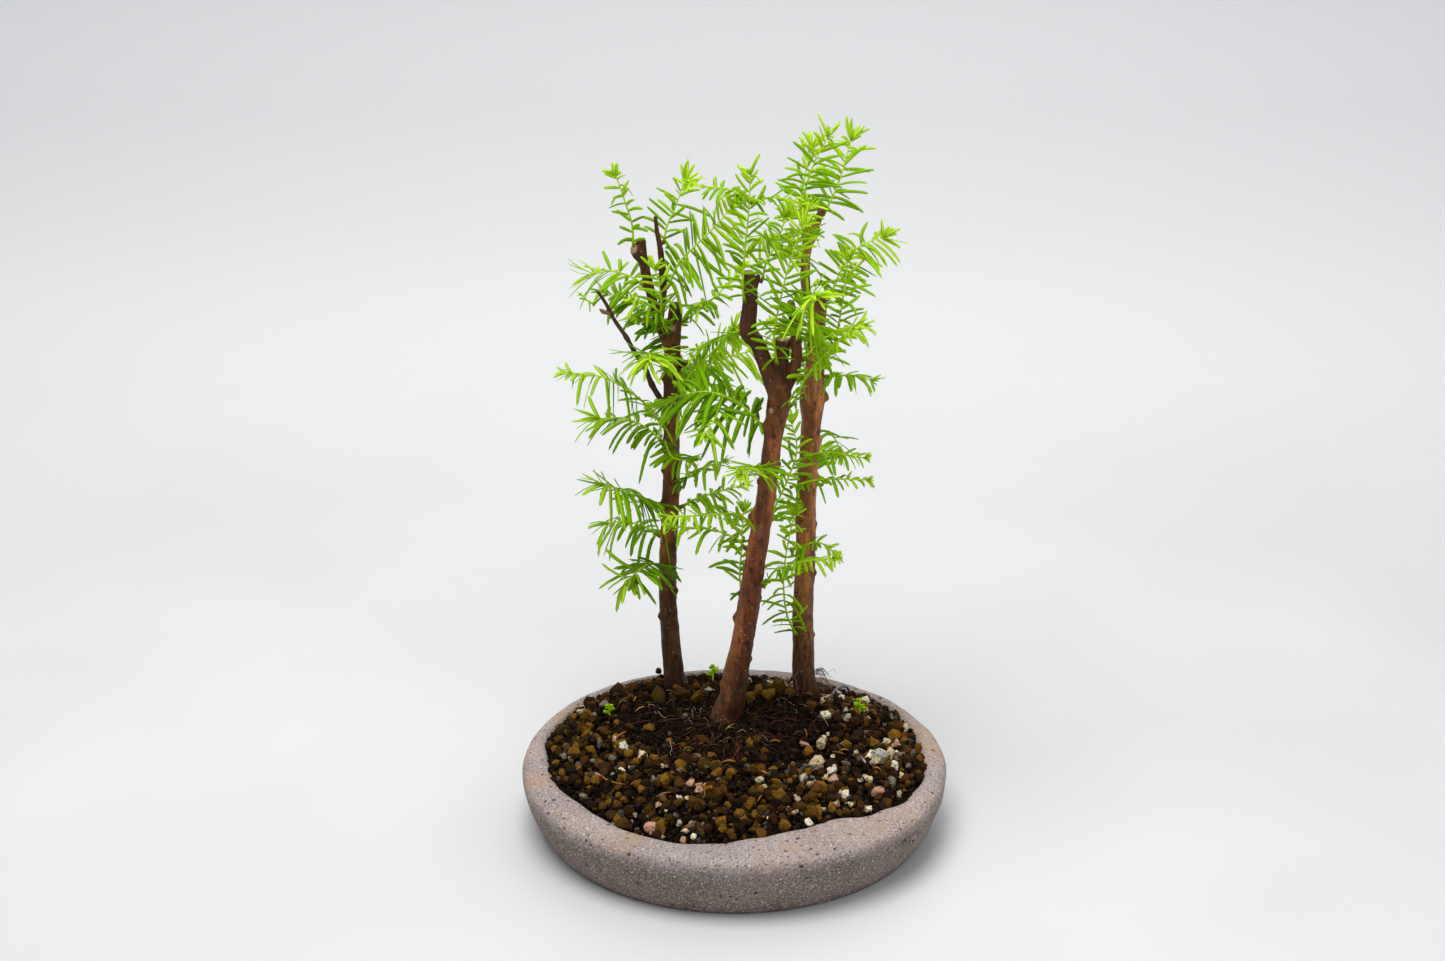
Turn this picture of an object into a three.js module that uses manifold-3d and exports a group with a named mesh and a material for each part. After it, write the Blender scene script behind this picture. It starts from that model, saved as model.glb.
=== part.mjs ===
// Small forest bonsai: three slim conifer trunks with soft flat-needled shoots, planted together in a
// shallow, round, hand-pinched stoneware bowl. Millimetres, +Z up, front towards -Y. The origin is the
// centre of the bowl's footprint, on the surface that it stands on.
import * as THREE from 'three';
import { mergeVertices } from 'three/addons/utils/BufferGeometryUtils.js';
import Module from 'manifold-3d';

const wasm = await Module();
wasm.setup();

// ---- Driving dimensions ----
const RIM_RADIUS = 120; // widest half width of the bowl
const BASE_RADIUS = 109; // flat underside
const POT_HEIGHT = 40;
const LIP = 13; // how far the rolled lip reaches inwards
const LIP_ROLL = 3.5; // from the top of the lip down to its inner edge
const WALL = 9; // side wall below the lip
const FLOOR = 8; // bottom of the bowl
const POT_SEGMENTS = 44;
const HOLE_RADIUS = 7; // drainage holes
const HOLE_OFFSET = 45; // from the middle to each hole
const SCREEN_RADIUS = 12;
const SCREEN_THICKNESS = 1.2;
const CLEARANCE = 0.3; // gap between pieces that rest on each other
const BUD_GAP = 0.5; // from the bark to the foot of a shoot
const SOIL_BELOW_RIM = 3.5; // edge of the soil under the top of the lip
const MOUND = 10.5; // height of the soil's middle over its edge
const GIRTH = 1; // thickness of every trunk and branch
const STEM = 1.2; // width of a green shoot's square stem
const STEM_REACH = STEM * Math.SQRT1_2; // from the stem's axis to its corners
const PAIR_SPACING = 7.6; // along a shoot, from one pair of needles to the next
const NEEDLE_WIDTH = 1.9;
const NEEDLE_THICKNESS = 0.5;
const NEEDLE_REACH = Math.hypot(NEEDLE_WIDTH, NEEDLE_THICKNESS) * 0.6; // from its middle line, with a margin
const NEEDLE_ANGLE = THREE.MathUtils.degToRad(66); // between a needle and its stem
const NEEDLE_DROOP = 0.16; // how far its tip hangs, as a share of its length
const TIP_NEEDLE = 7; // the single needle that ends a shoot
const LONGEST_AT = 0.35; // share of a shoot at which its needles are longest
const LENGTH_CHANGE = 0.85; // part of the longest length gained or lost over a whole shoot
const FIRST_NEEDLE = 1 - LONGEST_AT * LENGTH_CHANGE; // length of the lowest, as a part of the longest
const TWIG_FOOT = 1.8; // radius of the bare twig at the bark
const TWIG_END = 0.9;
const WIRE_RADIUS = 0.75;

// ---- Materials ----
const finish = (color, roughness) => new THREE.MeshStandardMaterial({ color, roughness, metalness: 0 });
const stoneware = finish(0x8a7b74, 0.85);
const earth = finish(0x3b2a1c, 1);
const bark = finish(0x5e3a2b, 0.85);
const deadwood = finish(0x4b3228, 0.85);
const foliage = finish(0x6fb81f, 0.55);
const mesh = finish(0x22242a, 0.6);
const tieWire = new THREE.MeshStandardMaterial({ color: 0x6f7d8c, roughness: 0.5, metalness: 0.7 });

const assembly = new THREE.Group();

// ---- Solids ----
function toSolid(geometry) {
  const plain = geometry.index ? geometry.toNonIndexed() : geometry.clone();
  plain.deleteAttribute('normal');
  plain.deleteAttribute('uv');
  const welded = mergeVertices(plain, 1e-4);
  return new wasm.Manifold(new wasm.Mesh({
    numProp: 3,
    vertProperties: new Float32Array(welded.attributes.position.array),
    triVerts: new Uint32Array(welded.index.array),
  }));
}

function flipped(geometry) {
  const turnedRound = geometry.toNonIndexed();
  const at = turnedRound.attributes.position.array;
  for (let i = 0; i < at.length; i += 9) {
    for (let k = 0; k < 3; k += 1) [at[i + 3 + k], at[i + 6 + k]] = [at[i + 6 + k], at[i + 3 + k]];
  }
  return turnedRound;
}

// A solid whose faces look outwards, whichever way round the geometry was drawn.
function facingOut(geometry) {
  const solid = toSolid(geometry);
  return solid.volume() > 0 ? solid : toSolid(flipped(geometry));
}

function toGeometry(solid) {
  const result = solid.getMesh();
  const geometry = new THREE.BufferGeometry();
  geometry.setAttribute('position', new THREE.BufferAttribute(result.vertProperties, 3));
  geometry.setIndex(new THREE.BufferAttribute(result.triVerts, 1));
  geometry.computeVertexNormals();
  return geometry;
}

function place(name, geometry, material, parent = assembly) {
  const piece = new THREE.Mesh(geometry, material);
  piece.name = name;
  parent.add(piece);
  return piece;
}

// ---- Bowl ----
// The inner edge of the lip is pinched by hand: [degrees from +X, mm outside (+) or inside (-) of round].
const PINCHES = [
  [2, -1], [38, 3], [60, -1], [80, -3], [101, 1], [125, 5], [160, 3], [190, -4],
  [215, -8], [235, -7], [252, -7], [265, -11], [276, -16], [290, -19], [305, -19], [322, -10], [334, -2],
  [348, 1],
];

function pinchAt(angle) {
  const degrees = (THREE.MathUtils.radToDeg(angle) + 720) % 360;
  const after = PINCHES.findIndex(([corner]) => corner > degrees);
  const next = PINCHES[after === -1 ? 0 : after];
  const last = PINCHES[after <= 0 ? PINCHES.length - 1 : after - 1];
  const span = (next[0] - last[0] + 360) % 360;
  const share = ((degrees - last[0] + 360) % 360) / span;
  return THREE.MathUtils.lerp(last[1], next[1], THREE.MathUtils.smoothstep(share, 0, 1));
}

// How much of the pinch reaches a point of the bowl: all of it on the lip's inner edge, none outside or low
// down.
function pinchShare(radius, height) {
  const inward = THREE.MathUtils.smoothstep(RIM_RADIUS - radius, 1, LIP);
  return inward * THREE.MathUtils.smoothstep(height, FLOOR + 4, POT_HEIGHT - 3);
}

function turned(profile) {
  const geometry = new THREE.LatheGeometry(profile.map(([r, z]) => new THREE.Vector2(r, z)), POT_SEGMENTS);
  geometry.rotateX(Math.PI / 2);
  return geometry;
}

function pinched(geometry) {
  const at = geometry.attributes.position;
  for (let i = 0; i < at.count; i += 1) {
    const radius = Math.hypot(at.getX(i), at.getY(i));
    if (radius < 1e-6) continue;
    const angle = Math.atan2(at.getY(i), at.getX(i));
    const moved = radius + pinchAt(angle) * pinchShare(radius, at.getZ(i));
    at.setXY(i, (at.getX(i) * moved) / radius, (at.getY(i) * moved) / radius);
  }
  return geometry;
}

const innerRadius = RIM_RADIUS - LIP;
const innerFloorRadius = BASE_RADIUS - WALL - 6;
// The inside of the bowl, from the floor's edge up to the lip's inner edge.
const inside = [
  [innerFloorRadius, FLOOR],
  [innerFloorRadius + 7, FLOOR + 4],
  [RIM_RADIUS - WALL - 4, POT_HEIGHT * 0.55],
  [RIM_RADIUS - LIP + 1, POT_HEIGHT - 8],
  [innerRadius, POT_HEIGHT - LIP_ROLL],
];

const bowlProfile = [
  [0, 0], [BASE_RADIUS - 5, 0], [BASE_RADIUS, 2.5], [BASE_RADIUS + 4, POT_HEIGHT * 0.2],
  [RIM_RADIUS - 2, POT_HEIGHT * 0.55], [RIM_RADIUS, POT_HEIGHT * 0.78], [RIM_RADIUS - 2, POT_HEIGHT * 0.93],
  [RIM_RADIUS - LIP * 0.45, POT_HEIGHT], [RIM_RADIUS - LIP * 0.8, POT_HEIGHT - 0.8],
  ...inside.slice().reverse(), [0, FLOOR],
];

function upright(radius, bottom, top, x) {
  const geometry = new THREE.CylinderGeometry(radius, radius, top - bottom, 20);
  geometry.rotateX(Math.PI / 2);
  return toSolid(geometry.translate(x, 0, (top + bottom) / 2));
}

let bowl = toSolid(pinched(turned(bowlProfile)));
const holes = [-HOLE_OFFSET, HOLE_OFFSET];
for (const x of holes) bowl = bowl.subtract(upright(HOLE_RADIUS, -1, FLOOR + 1, x));
place('pot', toGeometry(bowl), stoneware);

// ---- Drainage screens: flat discs of plastic mesh over the holes ----
const screenBottom = FLOOR + CLEARANCE;
const screenTop = screenBottom + SCREEN_THICKNESS;
const screenCutters = holes.map((x) => upright(SCREEN_RADIUS + CLEARANCE, 0, screenTop + CLEARANCE, x));
['left', 'right'].forEach((side, i) => {
  place(`drain_screen_${side}`, toGeometry(upright(SCREEN_RADIUS, screenBottom, screenTop, holes[i])), mesh);
});

// ---- Trunks and branches ----
// A limb is a bent, tapering cylinder. Its points are [x, y, z, radius], measured from the tree's planting
// point at the level of the bowl's rim. grow makes it fatter and longer all round, to cut its own socket.
const UP = new THREE.Vector3(0, 0, 1);
const SIDEWAYS = new THREE.Vector3(0, 1, 0);

const smoothPath = (points) => new THREE.CatmullRomCurve3(points, false, 'centripetal');

function limbCurve(points) {
  return smoothPath(points.map(([x, y, z]) => new THREE.Vector3(x, y, z)));
}

function limbRadius(points, t) {
  const at = t * (points.length - 1);
  const i = Math.min(Math.floor(at), points.length - 2);
  return GIRTH * THREE.MathUtils.lerp(points[i][3], points[i + 1][3], at - i);
}

function limbSolid({ points, sides = 8, steps = points.length }, grow = 0) {
  const curve = limbCurve(points);
  const geometry = new THREE.CylinderGeometry(1, 1, 1, sides, steps);
  const at = geometry.attributes.position;
  const reach = new THREE.Vector3().subVectors(curve.getPoint(1), curve.getPoint(0)).normalize();
  const reference = Math.abs(reach.y) > 0.7 ? new THREE.Vector3(1, 0, 0) : SIDEWAYS;
  for (let i = 0; i < at.count; i += 1) {
    const t = THREE.MathUtils.clamp(at.getY(i) + 0.5, 0, 1);
    const along = curve.getTangent(t);
    const across = new THREE.Vector3().crossVectors(reference, along).normalize();
    const out = new THREE.Vector3().crossVectors(along, across);
    const centre = curve.getPoint(t).addScaledVector(along, t === 0 ? -grow : t === 1 ? grow : 0);
    const spread = limbRadius(points, t) + grow;
    centre.addScaledVector(across, at.getX(i) * spread).addScaledVector(out, at.getZ(i) * spread);
    at.setXYZ(i, centre.x, centre.y, centre.z);
  }
  return facingOut(geometry);
}

const soilRadius = innerRadius - CLEARANCE;
const planting = (right, back) => new THREE.Vector3(right * soilRadius, back * soilRadius, POT_HEIGHT);

const trees = {
  left: {
    planted: planting(-0.327, 0.74),
    limbs: {
      main: { sides: 10, points: [[2, 0, -14, 3], [1.5, 0, -5, 8], [1, 0, 4, 7.4], [-0.5, 0, 12, 6.2],
        [-2.5, 0, 36, 5.6], [-3.8, 0, 59, 5.2], [-3.6, 0, 88, 4.9], [-2, 0, 117, 4.8], [-1, 0, 145, 4.6],
        [-1, 0, 172, 4.3], [-0.5, 0, 187, 5], [0, 0, 206, 4.6], [-0.5, 0, 219, 4.8]] },
      cut_stub: { points: [[-0.5, 0, 214, 4.4], [1, 0, 228, 4], [2, 0, 242, 3.4]] },
      fork: { points: [[-1, 0, 214, 3], [-8, -1, 232, 2.6], [-13, -1, 253, 2.6], [-16, -2, 268, 2.8],
        [-17, -2, 274, 4], [-17, -2, 281, 3.4]] },
      leader: { sides: 6, points: [[-7, 0, 232, 2], [-5, 3, 250, 2.1], [-6, 3, 269, 1.9], [-8, 3, 282, 1.5],
        [-9, 3, 292, 1]] },
      side_stub: { sides: 6, points: [[1, 0, 205, 2.4], [8, -2, 208, 1.7]] },
      root_front: { sides: 6, points: [[1, -2, 3, 4], [-3, -10, -1, 2.6], [-8, -16, -7, 1.4]] },
      root_right: { sides: 6, points: [[3, 0, 2, 3.6], [11, -3, -3, 2.2], [17, -4, -9, 1.2]] },
      root_back: { sides: 6, points: [[0, 2, 2, 3.6], [-8, 7, -3, 2.2], [-13, 10, -9, 1.2]] },
    },
  },
  middle: {
    planted: planting(-0.056, 0.262),
    limbs: {
      main: { sides: 10, points: [[-3, 0, -14, 3.5], [-2, 0, -5, 9], [-0.5, 0, 5, 8.6], [5, 0, 23, 7.9],
        [7, 0, 38, 7.4], [11, 0, 60, 6.5], [16, 0, 96, 6], [20, 0, 124, 5.8], [24, 0, 151, 5.5],
        [27, 0, 179, 5.3], [30, 0, 202, 6.6], [30.5, 0, 212, 6]] },
      left_fork: { points: [[29, 0, 205, 4.6], [22, 0, 225, 4.1], [18, 0, 236, 4], [13, 0, 243, 4.8],
        [14, 0, 256, 4], [14, 0, 268, 3.6], [12, 0, 276, 1.9]] },
      left_prong: { sides: 6, points: [[15, 0, 262, 2], [19, 1, 275, 1.3]] },
      cut_stub: { points: [[30, 0, 206, 5], [31, 1, 224, 4], [32, 1, 238, 3.8]] },
      right_fork: { sides: 6, points: [[32, 0, 207, 3.6], [39, 1, 223, 2.9], [39, 1, 241, 2.7],
        [37, 1, 253, 2.5], [36, 1, 260, 2.1]] },
      root_front: { sides: 6, points: [[-1, -3, 4, 4.6], [1, -12, -1, 3], [5, -20, -7, 1.6]] },
      root_left: { sides: 6, points: [[-3, 0, 2, 4], [-13, -3, -2, 2.6], [-22, -5, -8, 1.4]] },
      root_right: { sides: 6, points: [[2, 1, 2, 3.8], [12, 4, -3, 2.4], [19, 7, -9, 1.2]] },
    },
  },
  right: {
    planted: planting(0.394, 0.684),
    limbs: {
      main: { sides: 10, points: [[1, 0, -14, 3], [1, 0, -5, 8], [0.5, 0, 4, 7.4], [-1, 0, 14, 6.8],
        [-1.5, 0, 30, 6.4], [-2, 0, 60, 6], [-1, 0, 89, 5.8], [-1, 0, 118, 5.6], [0, 0, 146, 5.5],
        [1.6, 0, 174, 5.6], [2, 0, 188, 7.2], [3, 0, 204, 5.5], [4, 0, 230, 5.2], [5, 0, 249, 5.1]] },
      knob: { sides: 6, points: [[3, 0, 187, 4.6], [11, -1, 190, 2.8]] },
      leader: { points: [[3, 0, 236, 2.6], [-2, 0, 249, 2.8], [-3, -1, 265, 2.7], [-2, -1, 278, 3],
        [0, -1, 287, 5], [0, -1, 292, 3]] },
      left_prong: { sides: 6, points: [[-1, -1, 287, 2.4], [-4, -1, 296, 1.9], [-6, -1, 304, 1.4]] },
      right_prong: { sides: 6, points: [[1, -1, 287, 2.6], [4, -1, 293, 2], [6, -1, 299, 1.9]] },
      root_front: { sides: 6, points: [[0, -2, 3, 4], [4, -10, -1, 2.6], [10, -16, -8, 1.4]] },
      root_left: { sides: 6, points: [[-2, 0, 2, 3.6], [-10, -4, -3, 2.2], [-16, -7, -9, 1.2]] },
      root_back: { sides: 6, points: [[1, 2, 2, 3.6], [7, 8, -3, 2.2], [12, 12, -9, 1.2]] },
    },
  },
};

const united = (solids) => solids.reduce((whole, next) => whole.add(next));
const sockets = [];
const moved = (solid, { x, y, z }) => solid.translate(x, y, z);
for (const [side, tree] of Object.entries(trees)) {
  tree.group = new THREE.Group();
  tree.group.position.copy(tree.planted);
  assembly.add(tree.group);
  const limbs = Object.values(tree.limbs);
  place(`trunk_${side}`, toGeometry(united(limbs.map((limb) => limbSolid(limb)))), bark, tree.group);
  const grown = united(limbs.map((limb) => limbSolid(limb, CLEARANCE)));
  sockets.push(moved(grown, tree.planted));
}

// ---- Obstacles: every limb, stem and needle as short thick lines ----
// A needle that would grow into a neighbour is left out.
const obstacles = [];
const pointA = new THREE.Vector3();
const pointB = new THREE.Vector3();

// Distance between the lines a-b and c-d, from the closest points of the two.
function lineDistance(a, b, c, d) {
  const ab = new THREE.Vector3().subVectors(b, a);
  const cd = new THREE.Vector3().subVectors(d, c);
  const ca = new THREE.Vector3().subVectors(a, c);
  const [aa, ee, f] = [ab.dot(ab), cd.dot(cd), cd.dot(ca)];
  const [g, h] = [ab.dot(ca), ab.dot(cd)];
  const denominator = aa * ee - h * h;
  let s = denominator > 1e-9 ? THREE.MathUtils.clamp((h * f - g * ee) / denominator, 0, 1) : 0;
  let t = (h * s + f) / ee;
  if (t < 0 || t > 1) {
    t = THREE.MathUtils.clamp(t, 0, 1);
    s = THREE.MathUtils.clamp((h * t - g) / aa, 0, 1);
  }
  pointA.copy(a).addScaledVector(ab, s);
  pointB.copy(c).addScaledVector(cd, t);
  return pointA.distanceTo(pointB);
}

function addObstacle(owner, a, b, radius) {
  obstacles.push({ owner, a: a.clone(), b: b.clone(), radius });
}

function isClear(owner, a, b, radius) {
  return obstacles.every((other) => other.owner === owner
    || lineDistance(a, b, other.a, other.b) > radius + other.radius + CLEARANCE);
}

for (const [side, tree] of Object.entries(trees)) {
  for (const { points } of Object.values(tree.limbs)) {
    const curve = limbCurve(points);
    const steps = points.length * 3;
    for (let i = 0; i < steps; i += 1) {
      const [from, to] = [i / steps, (i + 1) / steps];
      const radius = Math.max(limbRadius(points, from), limbRadius(points, to));
      const [a, b] = [curve.getPoint(from), curve.getPoint(to)];
      addObstacle(`trunk_${side}`, a.add(tree.planted), b.add(tree.planted), radius);
    }
  }
}

// ---- Shoots ----
// A shoot leaves the bark of a limb at a height, square to it, and follows its route. face is the direction
// that the flat of the shoot looks to. needle is its longest needle. bare is its length without needles.
const FLAT = [0, 0, 1];
const FRONT = [0, -1, 0.35];

const shoots = {
  left: [
    { limb: 'fork', height: 277, route: [[-22, -5, 290], [-26, -10, 306], [-30, -14, 320]],
      needle: 13, face: FRONT },
    { limb: 'leader', height: 276, route: [[-3, 9, 284], [2, 13, 295], [7, 17, 308]],
      needle: 18, face: FRONT },
    { limb: 'leader', height: 252, route: [[4, -4, 267], [14, -11, 280], [24, -17, 292], [33, -21, 304]],
      needle: 22 },
    { limb: 'fork', height: 252, route: [[-22, 7, 255], [-34, 13, 257], [-44, 17, 254]], needle: 15 },
    { limb: 'main', height: 211, route: [[-8, 13, 226], [-22, 22, 235], [-38, 26, 240]], needle: 15 },
    { limb: 'cut_stub', height: 226, route: [[-6, -12, 238], [-6, -17, 252], [-9, -18, 268]],
      needle: 11, face: FRONT },
    { limb: 'main', height: 211, route: [[-11, -22, 219], [-12, -38, 226], [-11, -52, 227]], needle: 17 },
    { limb: 'cut_stub', height: 232, route: [[17, 6, 238], [27, 10, 246], [38, 16, 256]], needle: 16 },
    { limb: 'main', height: 192, route: [[11, -16, 207], [22, -26, 222], [34, -34, 238]], needle: 16 },
    { limb: 'main', height: 197, route: [[15, 3, 202], [31, 7, 208], [46, 9, 211]], needle: 13 },
    { limb: 'main', height: 170, route: [[-18, -14, 190], [-38, -22, 206], [-56, -26, 210]], needle: 18 },
    { limb: 'main', height: 158, route: [[-16, 8, 165], [-28, 14, 168], [-43, 20, 166]], needle: 17 },
    { limb: 'main', height: 136, route: [[11, -11, 145], [20, -17, 151], [28, -20, 155]], needle: 11 },
    { limb: 'main', height: 118, route: [[14, 6, 122], [28, 10, 125], [40, 14, 127]], needle: 12 },
    { limb: 'main', height: 119, route: [[-16, -13, 129], [-29, -22, 138], [-38, -27, 143]], needle: 15 },
    { limb: 'main', height: 99, route: [[-17, 8, 103], [-29, 14, 104], [-38, 16, 102]], needle: 16 },
    { limb: 'main', height: 84, route: [[-13, -15, 90], [-19, -26, 91], [-24, -34, 89]], needle: 18 },
    { limb: 'main', height: 180, route: [[6, 12, 190], [14, 22, 198], [24, 28, 200]], needle: 13 },
  ],
  middle: [
    { limb: 'left_fork', height: 262, route: [[10, -7, 272], [11, -7, 290], [13, -7, 312], [14, -7, 333]],
      needle: 11, face: FRONT },
    { limb: 'left_prong', height: 272, route: [[23, 3, 282], [29, 7, 292], [33, 12, 304]],
      needle: 15, face: FRONT },
    { limb: 'cut_stub', height: 226, route: [[27, -11, 245], [31, -19, 272], [37, -24, 298], [41, -28, 310]],
      needle: 16, face: FRONT },
    { limb: 'right_fork', height: 240, route: [[43, -16, 258], [46, -31, 272], [48, -46, 278]],
      needle: 20 },
    { limb: 'left_fork', height: 242, route: [[4, 12, 238], [-4, 21, 231], [-14, 29, 223]], needle: 17 },
    { limb: 'main', height: 188, route: [[8, -4, 203], [-8, 0, 208], [-22, 6, 204], [-32, 10, 197]],
      needle: 21 },
    { limb: 'main', height: 203, route: [[45, -8, 220], [56, -15, 237], [69, -21, 252]], needle: 17 },
    { limb: 'main', height: 112, route: [[6, 10, 117], [-9, 18, 119], [-29, 26, 117]], needle: 10 },
    { limb: 'main', height: 132, route: [[5, -10, 140], [-12, -17, 142], [-32, -24, 144]], needle: 11 },
    { limb: 'main', height: 80, route: [[9, 18, 88], [10, 26, 104], [11, 32, 124]],
      needle: 13, face: FRONT },
    { limb: 'main', height: 95, route: [[29, -6, 104], [44, -12, 112], [60, -16, 116]], needle: 10 },
    { limb: 'main', height: 126, route: [[29, 14, 135], [36, 22, 148], [41, 28, 163], [38, 32, 178]],
      needle: 12, face: FRONT },
    { limb: 'main', height: 160, route: [[20, -18, 170], [16, -32, 176], [10, -46, 178]], needle: 16 },
    { limb: 'right_fork', height: 226, route: [[52, 10, 233], [63, 17, 238], [76, 22, 239]], needle: 16 },
  ],
  right: [
    { limb: 'main', height: 44, route: [[-12, -16, 62], [-14, -22, 88], [-11, -23, 112], [-8, -22, 126]],
      needle: 15, face: FRONT },
    { limb: 'left_prong', height: 298, route: [[-4, -8, 310], [1, -11, 328], [8, -13, 343]],
      needle: 16, face: FRONT },
    { limb: 'leader', height: 288, route: [[-5, 11, 300], [-3, 16, 314], [0, 22, 327]],
      needle: 16, face: FRONT },
    { limb: 'right_prong', height: 296, route: [[12, 6, 304], [17, 12, 316], [22, 18, 333]],
      needle: 17, face: FRONT },
    { limb: 'leader', height: 281, route: [[-4, -16, 294], [-5, -29, 305], [-4, -40, 313]], needle: 16 },
    { limb: 'leader', height: 268, route: [[-12, -9, 282], [-20, -17, 289], [-30, -25, 289]], needle: 20 },
    { limb: 'main', height: 246, route: [[18, 8, 262], [27, 15, 272], [41, 22, 276]], needle: 18 },
    { limb: 'main', height: 212, route: [[13, -9, 222], [17, -13, 246], [20, -16, 275]],
      needle: 13, face: FRONT },
    { limb: 'main', height: 202, route: [[16, -8, 204], [24, -12, 206], [34, -15, 204]], needle: 11 },
    { limb: 'main', height: 166, route: [[12, 14, 162], [17, 22, 153], [20, 29, 143]], needle: 15 },
    { limb: 'main', height: 196, route: [[-4, 14, 208], [-10, 25, 217], [-18, 32, 220]], needle: 13 },
    { limb: 'main', height: 130, route: [[3, 13, 138], [6, 25, 143], [9, 36, 144]], needle: 12 },
    { limb: 'main', height: 104, route: [[-8, 12, 110], [-13, 21, 114], [-18, 30, 114]], needle: 11 },
  ],
};

// Where a shoot comes out of the bark: its point on the limb's axis at the height, moved out square to it.
function budPoint({ points }, height, towards) {
  const curve = limbCurve(points);
  let best = 0;
  for (let t = 0; t <= 1; t += 0.01) {
    if (Math.abs(curve.getPoint(t).z - height) < Math.abs(curve.getPoint(best).z - height)) best = t;
  }
  const axis = curve.getPoint(best);
  const along = curve.getTangent(best);
  const out = new THREE.Vector3(...towards).sub(axis);
  out.addScaledVector(along, -out.dot(along)).normalize();
  return { out, bud: axis.addScaledVector(out, limbRadius(points, best) + BUD_GAP) };
}

function shootPath(tree, { limb, height, route }) {
  const { out, bud } = budPoint(tree.limbs[limb], height, route[0]);
  const spur = bud.clone().addScaledVector(out, STEM * 1.5);
  const points = [bud, spur, ...route.map((point) => new THREE.Vector3(...point))];
  return smoothPath(points.map((point) => point.add(tree.planted)));
}

// Stations along the stem: two rings at each pair of needles, as far apart as a needle is wide.
function stationsOf(curve, bare) {
  const length = curve.getLength();
  const pairs = Math.max(1, Math.floor((length - bare) / PAIR_SPACING));
  const spacing = (length - bare) / pairs;
  const stations = [{ s: 0 }];
  for (let i = 0; i < pairs; i += 1) {
    const s = bare + i * spacing;
    stations.push({ s: s - NEEDLE_WIDTH / 2, needles: (i + 1) / pairs }, { s: s + NEEDLE_WIDTH / 2 });
  }
  return stations.map((station) => ({ ...station, u: station.s / length }));
}

function frameAt(curve, u, face) {
  const along = curve.getTangentAt(u);
  const across = new THREE.Vector3().crossVectors(along, face).normalize();
  const flat = new THREE.Vector3().crossVectors(across, along);
  return { at: curve.getPointAt(u), along, across, flat };
}

// Middle and tip of the needle on one side of a station. It leans forward and droops a little.
function needleLine(frame, side, length) {
  const lean = frame.across.clone().multiplyScalar(side * Math.sin(NEEDLE_ANGLE));
  lean.addScaledVector(frame.along, Math.cos(NEEDLE_ANGLE));
  const middle = frame.at.clone().addScaledVector(lean, length * 0.55);
  const tip = frame.at.clone().addScaledVector(lean, length).addScaledVector(UP, -NEEDLE_DROOP * length);
  return { lean, middle, tip };
}

function layOut(name, tree, spec, curve) {
  const face = new THREE.Vector3(...(spec.face ?? FLAT));
  const stations = stationsOf(curve, spec.bare ?? PAIR_SPACING);
  for (const station of stations) Object.assign(station, frameAt(curve, station.u, face));
  for (let i = 1; i < stations.length; i += 1) {
    addObstacle(name, stations[i - 1].at, stations[i].at, STEM_REACH);
  }
  const last = stations[stations.length - 1];
  const end = last.at.clone().addScaledVector(last.along, TIP_NEEDLE);
  addObstacle(name, last.at, end, STEM_REACH);
  return { name, tree, spec, stations, end };
}

// The needle's length rises evenly to the longest, then falls evenly towards the shoot's tip.
function needleLength(longest, share) {
  return longest * (share < LONGEST_AT
    ? FIRST_NEEDLE + share * LENGTH_CHANGE
    : 1 - (share - LONGEST_AT) * LENGTH_CHANGE);
}

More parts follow.
